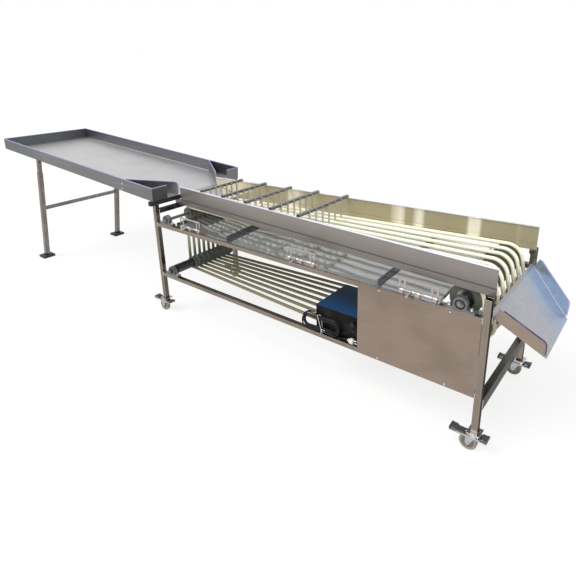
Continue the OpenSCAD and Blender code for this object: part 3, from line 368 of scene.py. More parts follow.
def worked(tree, shader, tone, along, roughness, clouds, streaks, wave, brush=0.16):
    """Brush lines, light and dark streaks and handling marks over a tone, as on worked sheet and tube."""
    lines = grain(tree, BRUSH[along], detail=2.0)
    cloud = grain(tree, (5.0, 5.0, 7.0), detail=5.0)
    band = grain(tree, STREAKS[along], detail=3.0)
    dull = mixed(tree, 1.0, tone, DULLED, "MULTIPLY")
    handled = mixed(tree, ranged(tree, cloud, 0.0, clouds * 2.5, 0.42, 0.75), tone, dull)
    dark = mixed(tree, ranged(tree, band, streaks, 0.0, 0.28, 0.52), handled, dull)
    light = mixed(tree, ranged(tree, band, 0.0, streaks * 0.6, 0.52, 0.76), dark, STREAK_LIGHT)
    brushed = mixed(tree, ranged(tree, lines, 0.0, brush), light, BRUSH_DARK)
    tree.links.new(brushed, shader.inputs["Base Color"])
    tree.links.new(ranged(tree, lines, roughness - 0.07, roughness + 0.09), shader.inputs["Roughness"])
    swell = grain(tree, even(7.0), detail=1.0)
    bumped(tree, shader, (swell, 0.5, wave), (lines, 0.7 * brush, BRUSH_DEPTH))


def steel(
    name, side, top=None, along="X", roughness=0.3, clouds=0.14, streaks=0.30, end=None, wave=4 * MM,
    metallic=1.0, slant=1.0, brush=0.16,
):
    """Satin stainless. Slant dims its glare; top and end are painted light and shade, the tones of upper
    faces and of faces turned to the discharge end.
    """
    material, tree, shader = new_finish(name, metallic=metallic, Specular_Tint=(*even(slant), 1.0))
    tone = linear(side)
    # Painted shade on faces turned to the discharge end
    if end is not None:
        tone = mixed(tree, ranged(tree, facing(tree, "X"), 0.0, 1.0, 0.4, 0.9), tone, linear(end))
    # Painted light and shade: upper faces take their own tone
    if top is not None:
        tone = mixed(tree, upper_face(tree), tone, linear(top))
    worked(tree, shader, tone, along, roughness, clouds, streaks, wave, brush)
    return material


def wall_steel(name, outside, dim, lit, lip):
    """Bed wall sheet: outside, painted shade at its foot and painted light towards its lip; inside, a painted
    reflection with tall painted glints, dimmed by painted shade towards the discharge end.
    """
    material, tree, shader = new_finish(name, metallic=0.55)
    low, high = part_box("bed_walls")
    # Painted glints: tall bright patches that fade before the discharge end
    patch = grain(tree, (10.0, 10.0, 0.3), detail=0.5)
    before_end = ranged(tree, place(tree, "X"), 1.0, 0.0, *(high.x - way for way in GLINTS_FADE))
    glint = product(tree, ranged(tree, patch, 0.0, 1.0, 0.52, 0.62), before_end)
    # Painted shade: the inner faces dim towards the discharge end
    towards_end = ranged(tree, place(tree, "X"), 0.0, 1.0, *(high.x - way for way in WALL_DIMS))
    dim_tone = mixed(tree, towards_end, linear(dim), shaded(linear(dim), END_SHADE))
    inner = mixed(tree, glint, dim_tone, linear(lit))
    face = linear(outside)
    # Outside, painted shade at the foot and painted light towards the lip
    upward = ranged(tree, place(tree, "Z"), 0.0, 1.0, low.z, high.z)
    outer = mixed(tree, upward, shaded(face, FOOT_SHADE), shaded(face, LIP_SHADE))
    tone = mixed(tree, outer_face(tree), inner, outer)
    # Upper faces take the lip's tone: a painted highlight on the walls, a painted shade on the bed rails
    tone = mixed(tree, upper_face(tree), tone, linear(lip))
    worked(tree, shader, tone, "X", roughness=0.34, clouds=0.05, streaks=0.04, wave=0.4 * MM, brush=0.02)
    return material


def tray_steel(name, floor, outside, cool, inside):
    """Tray sheet: pale floor with painted light, inner walls dimmed by painted shade, and outer sides that
    turn cooler to the left.
    """
    material, tree, shader = new_finish(name, metallic=0.9)
    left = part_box("feed_tray")[0].x
    leftward = ranged(tree, place(tree, "X"), 1.0, 0.0, left, left + TRAY_COOLS)
    sides = mixed(tree, leftward, linear(outside), linear(cool))
    # Painted shade on the inner walls, and painted light on upward faces below
    tone = mixed(tree, outer_face(tree), linear(inside), sides)
    tone = mixed(tree, upper_face(tree), tone, linear(floor))
    worked(tree, shader, tone, "X", roughness=0.40, clouds=0.10, streaks=0.12, wave=6 * MM, brush=0.10)
    return material


def chute_steel(name, floor, far, near):
    """Chute sheet: pale floor, bluish far wall with a painted reflection of it on the floor beside it, and
    warm near wall whose tone is a painted reflection of brown ground.
    """
    material, tree, shader = new_finish(name, metallic=0.8)
    upward = ranged(tree, facing(tree, "Z"), 0.0, 1.0, 0.25, 0.55)
    from_bend = add_node(tree, "ShaderNodeVectorMath", operation="DOT_PRODUCT")
    geometry = add_node(tree, "ShaderNodeNewGeometry")
    start, end = (Vector(point) for point in CHUTE_BEND)
    inward = Vector((0, 0, -1)).cross(end - start).normalized()
    from_bend.inputs[1].default_value = inward
    tree.links.new(geometry.outputs["Position"], from_bend.inputs[0])
    at_bend = inward.dot(start)
    fading = [at_bend + way for way in CHUTE_FADES]
    # Painted reflection of the far wall on the floor beside the bend
    beside = ranged(tree, from_bend.outputs["Value"], 1.0, 0.0, *fading)
    ground = mixed(tree, beside, linear(floor), linear(far))
    farther = ranged(tree, place(tree, "Y"), 0.0, 1.0, *CHUTE_MIDDLE)
    walls = mixed(tree, farther, linear(near), linear(far))
    tone = mixed(tree, upward, walls, ground)
    worked(tree, shader, tone, "X", roughness=0.36, clouds=0.07, streaks=0.18, wave=4 * MM)
    return material


def guide_steel(name, bar, strap, split_z):
    """Lane guides: dark cross bars over bright hanging straps."""
    material, tree, shader = new_finish(name, metallic=0.45)
    upper = ranged(tree, place(tree, "Z"), 0.0, 1.0, split_z - 2 * MM, split_z + 2 * MM)
    tone = mixed(tree, upper, linear(strap), linear(bar))
    worked(tree, shader, tone, "Y", roughness=0.34, clouds=0.10, streaks=0.25, wave=2 * MM)
    return material


def bright_metal(name, colour, roughness=0.22, metallic=1.0):
    """Plated or turned metal with a faint mottled haze."""
    material, tree, shader = new_finish(name, metallic=metallic)
    haze = grain(tree, even(90.0), detail=4.0)
    base = linear(colour)
    gloss = (roughness - 0.06, roughness + 0.14)
    weathered(tree, shader, haze, base, shaded(base, 0.62), 0.5, (0.25, 0.75), gloss)
    bumped(tree, shader, (haze, 0.10, GRAIN_DEPTH))
    return material


def cast_paint(name, colour):
    """Silver paint on a sand-cast housing."""
    material, tree, shader = new_finish(name, metallic=0.75)
    sand = grain(tree, even(700.0), detail=2.0)
    grime = grain(tree, (40.0, 40.0, 55.0), detail=4.0)
    base = linear(colour)
    weathered(tree, shader, grime, base, shaded(base, 0.45), 0.6, DUSTY, (0.32, 0.55))
    bumped(tree, shader, (sand, 0.25, 0.4 * MM))
    return material


def enamel(name, colour, roughness, coat, specular=0.35):
    """Glossy enamel with orange peel and a little dust."""
    material, tree, shader = new_finish(
        name, Coat_Weight=coat, Coat_Roughness=0.08, Specular_IOR_Level=specular
    )
    peel = grain(tree, even(260.0), detail=1.0)
    dust = grain(tree, even(14.0), detail=6.0)
    base = linear(colour)
    dusty = tuple(0.8 * channel + 0.03 for channel in base[:3])
    weathered(tree, shader, dust, base, (*dusty, 1.0), 0.5, DUSTY, (roughness, roughness + 0.15))
    bumped(tree, shader, (peel, 0.12, GRAIN_DEPTH))
    return material


def plastic(name, colour, roughness, wear=0.25, specular=0.4):
    """Moulded plastic or rubber with a fine grain and scuffed patches."""
    material, tree, shader = new_finish(name, Specular_IOR_Level=specular)
    moulded = grain(tree, even(900.0), detail=2.0)
    scuff = grain(tree, even(45.0), detail=5.0)
    base = linear(colour)
    scuffed = tuple(0.78 * channel + 0.03 for channel in base[:3])
    weathered(tree, shader, scuff, base, (*scuffed, 1.0), wear * 2.0, SCUFFED, (roughness, roughness + 0.18))
    bumped(tree, shader, (moulded, 0.18, GRAIN_DEPTH))
    return material


def soft_edging(name, colour, dark):
    """Soft edging with painted shade on the outlet dividers and the chute's near rim, and a fine grain."""
    material, tree, shader = new_finish(name, Specular_IOR_Level=0.35)
    chute_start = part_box("end_chute")[0].x
    chute = ranged(tree, place(tree, "X"), 0.0, 1.0, chute_start, chute_start + EDGING_START)
    near = ranged(tree, place(tree, "Y"), 1.0, 0.0, *EDGING_NEAR)
    low = ranged(tree, place(tree, "Z"), 1.0, 0.0, *EDGING_LOW)
    inboard = ranged(tree, chute, 1.0, 0.0, 0.0, 0.1)
    # Painted shade on the chute's near rim, then on the dividers
    tone = mixed(tree, product(tree, chute, near), linear(colour), linear(dark))
    tone = mixed(tree, product(tree, low, inboard), tone, linear(dark))
    moulded = grain(tree, even(600.0), detail=2.0)
    scuff = grain(tree, even(30.0), detail=5.0)
    faded = mixed(tree, 0.5, tone, FADED)
    weathered(tree, shader, scuff, tone, faded, 0.5, DUSTY, (0.36, 0.55))
    bumped(tree, shader, (moulded, 0.18, GRAIN_DEPTH))
    return material


def rope_cover(name, colour, below):
    """Cream rope cover: a fine crossed braid with painted shade in its grooves, rubbed darker in places, and
    painted shade on the lower run.
    """
    material, tree, shader = new_finish(name, roughness=0.55, Sheen_Weight=0.15, Sheen_Roughness=0.5)
    coords = add_node(tree, "ShaderNodeTexCoord")
    heights = []
    for slant in (1.0, -1.0):
        leaned = add_node(tree, "ShaderNodeMapping")
        leaned.inputs["Rotation"].default_value = (0.0, 0.0, slant * BRAID_LEAN)
        wave = add_node(tree, "ShaderNodeTexWave", wave_type="BANDS", bands_direction="X")
        wave.inputs["Scale"].default_value = BRAID_SCALE
        tree.links.new(coords.outputs["UV"], leaned.inputs["Vector"])
        tree.links.new(leaned.outputs["Vector"], wave.inputs["Vector"])
        heights.append(wave.outputs["Fac"])
    braid = add_node(tree, "ShaderNodeMath", operation="MAXIMUM")
    tree.links.new(heights[0], braid.inputs[0])
    tree.links.new(heights[1], braid.inputs[1])
    rubbed = grain(tree, (9.0, 30.0, 30.0), detail=5.0)
    # Painted shade on the lower run, fading out between these heights
    upward = ranged(tree, place(tree, "Z"), 0.0, 1.0, *ROPE_SHADE_HEIGHTS)
    base = mixed(tree, upward, linear(below), linear(colour))
    # Painted shade in the braid's grooves
    grooves = mixed(tree, 1.0, base, GROOVE_SHADE, "MULTIPLY")
    grime = mixed(tree, 1.0, base, GRIME_TINT, "MULTIPLY")
    woven = mixed(tree, ranged(tree, braid.outputs["Value"], 0.0, 1.0, 0.3, 1.0), grooves, base)
    worn = mixed(tree, ranged(tree, rubbed, 0.0, 0.34, 0.45, 0.8), woven, grime)
    tree.links.new(worn, shader.inputs["Base Color"])
    bumped(tree, shader, (braid.outputs["Value"], 0.22, BRAID_DEPTH))
    return material


FINISHES = {}


def make_finishes():
    """Every finish of the machine, by name."""
    tone = settings().colours
    guide_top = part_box("bed_walls")[1].z
    FINISHES.update(
        # Legs and rails take painted shade on faces turned to the discharge end
        leg=steel("satin_leg", tone.steel_side, None, "Z", 0.28, end=tone.steel_end_shade, slant=0.3),
        upper=steel(
            "satin_upper_rail", tone.steel_side, tone.rail_top_shade, "X", 0.28, clouds=0.2, end=tone.steel_end_shade
        ),
        lower=steel(
            "satin_lower_rail", tone.steel_side, tone.low_top_shade, "X", 0.34, clouds=0.3, end=tone.steel_end_shade
        ),
        tie=steel("satin_cross_tie", tone.tie, tone.tie, "Y", 0.28, clouds=0.3, slant=0.5),
        stand=steel("satin_stand_tube", tone.stand, None, "Z", 0.28),
        panel=steel(
            "satin_panel", tone.panel, tone.rail_top_shade, "X", 0.36, clouds=0.22, streaks=0.05, wave=2 * MM
        ),
        wall=wall_steel("bed_wall_sheet", tone.wall_out, tone.wall_dim, tone.wall_lit, tone.wall_lip),
        tray=tray_steel("tray_sheet", tone.tray_floor, tone.tray_side, tone.tray_cool, tone.tray_in),
        # Painted reflection on the collecting trays' upper faces
        outlet=steel(
            "outlet_sheet", tone.tray_side, tone.outlet_floor, "X", 0.10, clouds=0.12, streaks=0.08,
            metallic=0.92, brush=0.04,
        ),
        chute=chute_steel("chute_sheet", tone.chute_floor, tone.chute_far, tone.panel),
        # The bed rails share the walls' painted glints, reflection and shade, with painted shade on their
        # upper faces
        rail=wall_steel("bed_rail_sheet", tone.wall_out, tone.wall_dim, tone.wall_lit, tone.bed_rail_lip_shade),
        # Painted shade: the cross bar's sides are darker than its top
        dark=steel("dark_bar", shaded(tone.dark_steel, 0.85)[:3], tone.dark_steel, "Y", 0.34),
        guide=guide_steel("lane_guide_steel", tone.dark_steel, tone.strap, guide_top),
        bright=bright_metal("bright_plating", tone.bright),
        plating=bright_metal("caster_plating", tone.plating, 0.28),
        # Painted highlight on the walls' lips
        lip=bright_metal("wall_lip_steel", tone.wall_lip, 0.34, 0.5),
        gate=bright_metal("gate_steel", tone.gate, 0.30),
        shaft=bright_metal("turned_shaft", tone.shaft, 0.28),
        hub=bright_metal("hub_plating", tone.hub, 0.40),
        roller=steel("roller_tube", shaded(tone.dark_steel, 0.7)[:3], None, "Y", 0.38),
        cast=cast_paint("cast_housing_paint", tone.cast),
        nylon=plastic("sheave_nylon", tone.nylon, 0.42, wear=0.35),
        rope=rope_cover("rope_cover", tone.rope, tone.rope_low_shade),
        edging=soft_edging("soft_edging", tone.edging, tone.edging_shade),
        navy=enamel("cover_enamel", tone.navy, 0.30, 0.04, 0.16),
        box=enamel("box_enamel", tone.black, 0.34, 0.0, 0.1),
        black=plastic("black_plastic", tone.black, 0.42),
        cable=plastic("cable_sheath", tone.black, 0.40, wear=0.15, specular=0.3),
        white=plastic("white_plastic", tone.white, 0.40, wear=0.08),
        red=plastic("switch_rocker", tone.red, 0.32, wear=0.08),
        brass=bright_metal("gland_brass", tone.brass, 0.24),
        belt=plastic("belt_rubber", tone.black, 0.60),
        wheel=plastic("wheel_rubber", tone.wheel, 0.50, wear=0.35),
        pad=plastic("pedal_cover", tone.pad, 0.36, wear=0.5),
        boot=plastic("foot_boot", tone.boot, 0.5, wear=0.35),
        motor=enamel("motor_enamel", tone.motor, 0.35, 0.15),
    )


# Finish and edge rounding of the parts of the frame that keep their own shape, group by group
TUBE, TRIM, CASTING = 3.0 * MM, 2.2 * MM, 1.4 * MM
FORMED, SHEET, SMALL, NONE = 0.8 * MM, 0.6 * MM, 0.5 * MM, 0.0
SHEET_PARTS = {
    "feed_tray": ("tray", SHEET), "bed_walls": ("wall", SHEET), "collecting_trays": ("outlet", SHEET),
    "side_panel": ("panel", SHEET), "end_chute": ("chute", SHEET), "equipment_shelf": ("panel", SHEET),
    "edge_trim": ("edging", TRIM),
}
FRAME_PARTS = {
    "frame_legs": ("leg", TUBE), "upper_rails": ("upper", TUBE), "lower_rails": ("lower", TUBE),
    "cross_ties": ("tie", TUBE), "bed_rails": ("rail", 1.5 * MM), "feed_crossbar": ("dark", TUBE),
    "crossbar_caps": ("black", 1.5 * MM), "lane_guides": ("guide", 0.9 * MM),
    "stand_inner_tubes": ("stand", 2.4 * MM), "stand_frame": ("stand", 2.2 * MM),
}
ROLLER_PARTS = {
    "infeed_roller": ("shaft", NONE), "infeed_sheaves": ("nylon", FORMED),
    "return_roller": ("roller", NONE), "return_sheaves": ("nylon", FORMED),
    "drive_shaft": ("shaft", NONE), "drive_sheaves": ("nylon", FORMED),
    "snub_roller": ("roller", NONE), "guide_roller": ("roller", NONE),
    "pillow_blocks": ("cast", CASTING), "block_bolts": ("bright", SMALL),
}
GATE_PARTS = {
    **{f"outlet_gate_{number}": ("gate", SHEET) for number in (1, 2, 3)}, "gate_hinges": ("gate", FORMED),
}
DRIVE_PARTS = {
    "control_box": ("box", SMALL), "control_cover": ("navy", 0.9 * MM), "speed_knob": ("black", SMALL),
    "power_switch": ("red", SMALL), "cable_gland": ("brass", SMALL), "gearmotor": ("motor", 1.0 * MM),
    "motor_pulley": ("roller", SMALL), "drum_pulley": ("roller", SMALL), "drive_belt": ("belt", 0.6 * MM),
}
CASTER_PARTS = {
    "caster_plates": ("plating", 1.0 * MM),
    **{f"caster_fork_{k}": ("plating", 0.7 * MM) for k in CASTERS},
    **{f"brake_pedal_{k}": ("plating", NONE) for k in CASTERS},
    **{f"caster_wheel_{k}": ("wheel", 1.0 * MM) for k in CASTERS},
}


def dress(parts):
    """Gives parts of the frame their finishes, and rounds their edges as the real pieces have them."""
    for part, (finish, edge) in parts.items():
        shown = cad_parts[part]
        shown.data.materials.clear()
        shown.data.materials.append(FINISHES[finish])
        if edge:
            round_edges(shown, edge)


def round_edges(shown, edge):
    """Rounds the sharp edges of a part, once its mesh is joined and its flat faces are whole."""
    weld = shown.modifiers.new("joined_faces", "WELD")
    weld.merge_threshold = 0.01 * MM
    flat = shown.modifiers.new("flat_faces", "DECIMATE")
    flat.decimate_type = "DISSOLVE"
    flat.angle_limit = math.radians(0.5)
    bevel = shown.modifiers.new("edges", "BEVEL")
    bevel.width = edge
    bevel.segments = 3 if edge > 1.2 * MM else 2
    bevel.limit_method = "ANGLE"
    bevel.angle_limit = SHARP
    bevel.harden_normals = True


# Mesh building


def add_piece(name, build, body, finish):
    """A new object of the machine, made by a function that fills a bmesh; it rides on one of its bodies."""
    mesh = mesh_from(build, name)
    mesh.materials.append(FINISHES[finish])
    made = bpy.data.objects.new(name, mesh)
    bpy.context.scene.collection.objects.link(made)
    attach(made, body)
    return made


def mesh_from(build, name):
    """A smooth mesh with sharp edges, whose shape a function adds to an empty bmesh."""
    shape = bmesh.new()
    build(shape)
    bmesh.ops.recalc_face_normals(shape, faces=shape.faces)
    for face in shape.faces:
        face.smooth = True
    mesh = bpy.data.meshes.new(name)
    shape.to_mesh(mesh)
    shape.free()
    mesh.set_sharp_from_angle(angle=SHARP)
    return mesh


def bridge(shape, rings, closed):
    """Faces between following rings of points, which all have as many points."""
    made = []
    count = len(rings)
    for k in range(count if closed else count - 1):
        here, after = rings[k], rings[(k + 1) % count]
        for j in range(len(here)):
            n = (j + 1) % len(here)
            made.append(shape.faces.new((here[j], here[n], after[n], after[j])))
    return made


def sweep(shape, points, radius, sides=8, closed=False):
    """A round tube along points. The radius is a number, or a function of the way along."""
    count = len(points)
    size = radius if callable(radius) else (lambda way: radius)
    rings, way = [], 0.0
    side = None
    for k, point in enumerate(points):
        before = points[(k - 1) % count] if closed or k else point
        after = points[(k + 1) % count] if closed or k < count - 1 else point
        ahead = (after - before).normalized()
        if side is None:
            side = ahead.orthogonal().normalized()
        side = (side - ahead * side.dot(ahead)).normalized()
        up = ahead.cross(side)
        if k:
            way += (point - points[k - 1]).length
        turns = [2 * math.pi * j / sides for j in range(sides)]
        rings.append(
            [shape.verts.new(point + size(way) * (math.cos(a) * side + math.sin(a) * up)) for a in turns]
        )
    bridge(shape, rings, closed)
    if not closed:
        shape.faces.new(rings[0][::-1])
        shape.faces.new(rings[-1])


def turned(shape, outline, base, axis, steps=24, unit=MM):
    """A turned shape. The outline holds (way along the axis, radius), in millimetres or another unit."""
    axis = Vector(axis).normalized()
    side = axis.orthogonal().normalized()
    up = axis.cross(side)
    rings = []
    for k in range(steps):
        a = 2 * math.pi * k / steps
        out = math.cos(a) * side + math.sin(a) * up
        rings.append([
            shape.verts.new(Vector(base) + axis * (way * unit) + out * (r * unit)) for way, r in outline
        ])
    bridge(shape, rings, True)
    bmesh.ops.remove_doubles(shape, verts=shape.verts, dist=0.001 * MM)


def block(shape, low, high):
    """A plain box between two corners."""
    made = bmesh.ops.create_cube(shape, size=1.0)["verts"]
    spread = high - low
    for vert in made:
        vert.co = Vector(c * s for c, s in zip(vert.co, spread)) + (low + high) / 2


def islands(part):
    """Corners of each separate solid in a part of the frame, from left to right."""
    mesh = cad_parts[part].data
    keys = [tuple(round(c / (0.02 * MM)) for c in v.co) for v in mesh.vertices]
    root = {key: key for key in keys}

    def top(key):
        while root[key] != key:
            root[key] = root[root[key]]
            key = root[key]
        return key

    for face in mesh.polygons:
        first = top(keys[face.vertices[0]])
        for v in face.vertices[1:]:
            root[top(keys[v])] = first
    groups = {}
    for key, vert in zip(keys, mesh.vertices):
        groups.setdefault(top(key), []).append(vert.co)
    boxes = []
    for points in groups.values():
        low = Vector(min(p[i] for p in points) for i in range(3))
        high = Vector(max(p[i] for p in points) for i in range(3))
        boxes.append((low, high))
    return sorted(boxes, key=lambda box: tuple(round(c, 4) for c in (*box[0], *box[1])))


def middle(box):
    """Middle of a box."""
    return (box[0] + box[1]) / 2


# Camera: the width of its picture in millimetres, and how far it sees, in metres
PICTURE_WIDTH, FAR_SIGHT = 36.0, 100.0


class GRADER_OT_camera(bpy.types.Operator):
    """Sets the camera at the view that the machine was seen from"""

    bl_idname = "grader.camera"
    bl_label = "Camera"

    def execute(self, context):
        view = settings().view
        a, e, roll = view.azimuth, view.elevation, view.roll
        ahead = Vector((-math.sin(a) * math.cos(e), math.cos(a) * math.cos(e), -math.sin(e)))
        right = Vector((math.cos(a), math.sin(a), 0.0))
        up = right.cross(ahead)
        right, up = (
            math.cos(roll) * right + math.sin(roll) * up,
            math.cos(roll) * up - math.sin(roll) * right,
        )
        data = bpy.data.cameras.new("camera")
        data.sensor_width = PICTURE_WIDTH
        data.lens = view.lens
        data.shift_x, data.shift_y = view.shift
        data.clip_end = FAR_SIGHT
        made = bpy.data.objects.new("camera", data)
        made.matrix_world = Matrix.Translation(view.place) @ Matrix((right, up, -ahead)).transposed().to_4x4()
        context.scene.collection.objects.link(made)
        context.scene.camera = made
        return {"FINISHED"}


# Mains cord, in millimetres: its lead from the gland, the hank on the lower rail and the tail to the plug
LEAD = (
    (1300, -300, 381.5), (1290, -300, 381.5), (1270, -301, 381.5), (1253, -306, 376.5),
    (1239, -315, 363.5), (1234, -325.5, 345.5), (1239, -336, 327.5), (1253, -345, 314.5),
    (1270, -349.5, 309.5), (1283, -350.5, 309.5), (1295, -350.5, 309.5),
)
TAIL = (
    (1468, -341.7, 309.5), (1490, -341.7, 309.5), (1500, -342, 311), (1510, -343, 315), (1520, -344, 319),
    (1530, -344.5, 320.5), (1538, -344.5, 320.5),
)
HANK_LOOPS, HANK_RINGS = 4, 48
HANK_MIDDLE = (1370, -350.5, 356.5)
HANK_HALF_RUN, HANK_FOLD, HANK_STEP, HANK_LAYER, HANK_WAIST = 75, 24, 11.5, 8.8, 0.12
# String on the hank, in millimetres: its radius, its gap to the cord, the bends of its loop, and its lean
# along the hank, with the share of that lean behind the hank
STRING_R, STRING_GAP, STRING_BEND, STRING_LEAN, LEAN_BEHIND = 1.5, 1.6, 4, 16, 0.4
# Its knot, in millimetres: outline, way along the hank and out of it, and share of the way down its front;
# and the points that its two loose ends run through, from the knot
KNOT = ((-3.6, 0), (-2.9, 2.2), (0, 3.2), (2.9, 2.2), (3.6, 0))
KNOT_ALONG, KNOT_OUT, KNOT_DOWN = 10, 1.2, 0.62
STRING_ENDS = (((9, -0.5, 4), (24, -0.6, 3)), ((-1, -1.0, -7), (-2, -1.0, -24)))
# Plug, in millimetres: the ribs of its strain relief with their pitch, first radius and growth, its length,
# and one of its pins with their half spacing
PLUG_RIBS, RIB_PITCH, RIB_R, RIB_GROWTH = 4, 2.6, 5.4, 1.2
PLUG_LENGTH, PIN_HALF_SPACING = 36, 7
PIN = ((35.5, 0), (35.5, 2.4), (53.5, 2.4), (54.8, 1.2), (54.8, 0))


def eased(u):
    """A smooth step from 0 to 1."""
    u = min(1.0, max(0.0, u))
    return u * u * (3 - 2 * u)


def hank_radius(t):
    """Radius of the hank's fold after t loops: in to the middle and out again."""
    return HANK_FOLD + HANK_STEP * min(HANK_LOOPS / 2, abs(t - HANK_LOOPS / 2))


def hank_point(t):
    """Point of the hank after t loops, in millimetres."""
    leg, part = divmod(4 * (t % 1.0), 1.0)
    r = hank_radius(t)
    along = HANK_HALF_RUN * (2 * part - 1)
    drawn = r * (1 - HANK_WAIST * math.cos(math.pi / 2 * along / HANK_HALF_RUN) ** 2)
    a = math.pi * part
    x, z = (
        (along, -drawn),
        (HANK_HALF_RUN + r * math.sin(a), -r * math.cos(a)),
        (-along, drawn),
        (-HANK_HALF_RUN - r * math.sin(a), r * math.cos(a)),
    )[int(leg)]
    lift = HANK_LAYER * eased(4 * (t - HANK_LOOPS / 2))
    return (HANK_MIDDLE[0] + x, HANK_MIDDLE[1] + lift, HANK_MIDDLE[2] + z)


def in_frame(point):
    """A point of the frame's own drawing, in millimetres from its feed end, in the part's metres."""
    return Vector((FEED_END + point[0] * MM, point[1] * MM, point[2] * MM))


def smoothed(points, steps):
    """A smooth line through points, with steps points in each stretch."""
    ends = [2 * points[0] - points[1], *points, 2 * points[-1] - points[-2]]
    line = []
    for k in range(1, len(ends) - 2):
        p0, p1, p2, p3 = ends[k - 1 : k + 3]
        for j in range(steps):
            t = j / steps
            line.append(
                0.5 * (2 * p1 + t * (p2 - p0) + t * t * (2 * p0 - 5 * p1 + 4 * p2 - p3)
                       + t * t * t * (3 * p1 - p0 - 3 * p2 + p3))
            )
    return [*line, points[-1]]


def cord_route():
    """The whole route of the mains cord."""
    turns = int((HANK_LOOPS + 0.25) * HANK_RINGS)
    hank = [in_frame(hank_point(k / HANK_RINGS)) for k in range(turns + 1)]
    lead = smoothed([in_frame(p) for p in LEAD], 5)
    tail = smoothed([hank[-1], *[in_frame(p) for p in TAIL]], 5)
    return [*lead[:-1], *hank[:-1], *tail]


class GRADER_OT_mains_cord(bpy.types.Operator):
    """Lays the mains cord in its hank, with its tie and plug"""

    bl_idname = "grader.mains_cord"
    bl_label = "Mains cord"

    def execute(self, context):
        route = cord_route()
        line = bpy.data.curves.new("mains_cord", "CURVE")
        line.dimensions = "3D"
        line.bevel_depth = settings().sizes.cord_d / 2
        line.bevel_resolution = 4
        line.use_fill_caps = True
        spline = line.splines.new("POLY")
        spline.points.add(len(route) - 1)
        for knot, point in zip(spline.points, route):
            knot.co = (*point, 1.0)
        line.materials.append(FINISHES["cable"])
        cord = bpy.data.objects.new("mains_cord", line)
        context.scene.collection.objects.link(cord)
        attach(cord, "frame")
        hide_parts("cord_lead", "cord_hank")
        tie = self.make_tie()
        plug = self.make_plug()
        return {"FINISHED"}

    def make_tie(self):
        """A white string tied slantwise round the hank, with a knot and two loose ends."""
        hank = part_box("cord_hank")
        front, back = hank[0].y - STRING_GAP * MM, hank[1].y + STRING_GAP * MM
        cord_r = settings().sizes.cord_d / 2
        reach = hank_radius(0) * (1 - HANK_WAIST) * MM + cord_r + STRING_GAP * MM
        centre = Vector((FEED_END + HANK_MIDDLE[0] * MM, (front + back) / 2, HANK_MIDDLE[2] * MM))
        bend, thick = STRING_BEND * MM, STRING_R * MM
        half_y, half_z = (back - front) / 2 - bend, reach - bend
        knot = centre + Vector((KNOT_ALONG * MM, front - centre.y - KNOT_OUT * MM, -KNOT_DOWN * reach))

        def slanted(y, z):
            """A point of the string's loop; it leans along the hank on the way down its front."""
            lean = -STRING_LEAN * MM * z / reach * (1.0 if y < 0 else LEAN_BEHIND)
            return centre + Vector((lean, y, z))

        def build(shape):
            loop = []
            for sy, sz, start in ((1, 1, 0), (-1, 1, 90), (-1, -1, 180), (1, -1, 270)):
                for j in range(7):
                    a = math.radians(start + 15 * j)
                    loop.append(slanted(sy * half_y + bend * math.cos(a), sz * half_z + bend * math.sin(a)))
            sweep(shape, loop, thick, 10, True)
            turned(shape, KNOT, knot, (1, 0, 0.3), 16)
            for points in STRING_ENDS:
                path = [knot, *[knot + Vector(point) * MM for point in points]]
                sweep(shape, smoothed(path, 6), thick, 10)

        tie = add_piece("hank_tie", build, "frame", "white")
        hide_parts("cord_tie")
        return tie

    def make_plug(self):
        """A round two-pin plug with a ribbed strain relief."""
        low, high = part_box("mains_plug")
        base = middle((low, high))
        base.x = low.x
        r = (high.z - low.z) / 2 / MM

        def build(shape):
            outline = [(0, 0), (0, 4.6)]
            for k in range(PLUG_RIBS):
                way, wide = 1 + RIB_PITCH * k, RIB_R + RIB_GROWTH * k
                outline += [(way, wide), (way + 1.5, wide), (way + 1.8, wide - 0.9)]
            outline += [
                (12.5, 0.82 * r), (14, r - 0.8), (15, r), (PLUG_LENGTH - 3, r), (PLUG_LENGTH - 1, r - 0.6),
                (PLUG_LENGTH, r - 2), (PLUG_LENGTH, 0),
            ]
            turned(shape, outline, base, (1, 0, 0), 32)
            for side in (-1, 1):
                turned(shape, PIN, base + Vector((0, 0, side * PIN_HALF_SPACING * MM)), (1, 0, 0), 16)

        plug = add_piece("plug_body", build, "frame", "white")
        plug.data.materials.append(FINISHES["bright"])
        for face in plug.data.polygons:
            face.material_index = int(face.center.x - base.x > (PLUG_LENGTH + 0.2) * MM)
        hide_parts("mains_plug")
        return plug


# Turn between two rings of a rope that bends round a roller
ROPE_TURN_STEP = math.radians(6)


def rope_circles():
    """Rollers that a rope runs over, clockwise: (x, z, radius of the rope's line)."""
    half = settings().sizes.rope_d / 2
    over_flange, over_roller = 2.0 * MM, half + 0.5 * MM
    circles = []
    for part, extra in (
        ("infeed_sheaves", over_flange), ("drive_sheaves", over_flange), ("snub_roller", over_roller),
        ("guide_roller", over_roller), ("return_sheaves", over_flange),
    ):
        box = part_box(part)
        centre = middle(box)
        circles.append((centre.x, centre.z, (box[1].z - box[0].z) / 2 + extra))
    return circles


def heading(a, b):
    """Direction of the straight run that leaves circle a and meets circle b on their left."""
    run = math.hypot(b[0] - a[0], b[1] - a[1])
    return math.atan2(b[1] - a[1], b[0] - a[0]) - math.asin((a[2] - b[2]) / run)


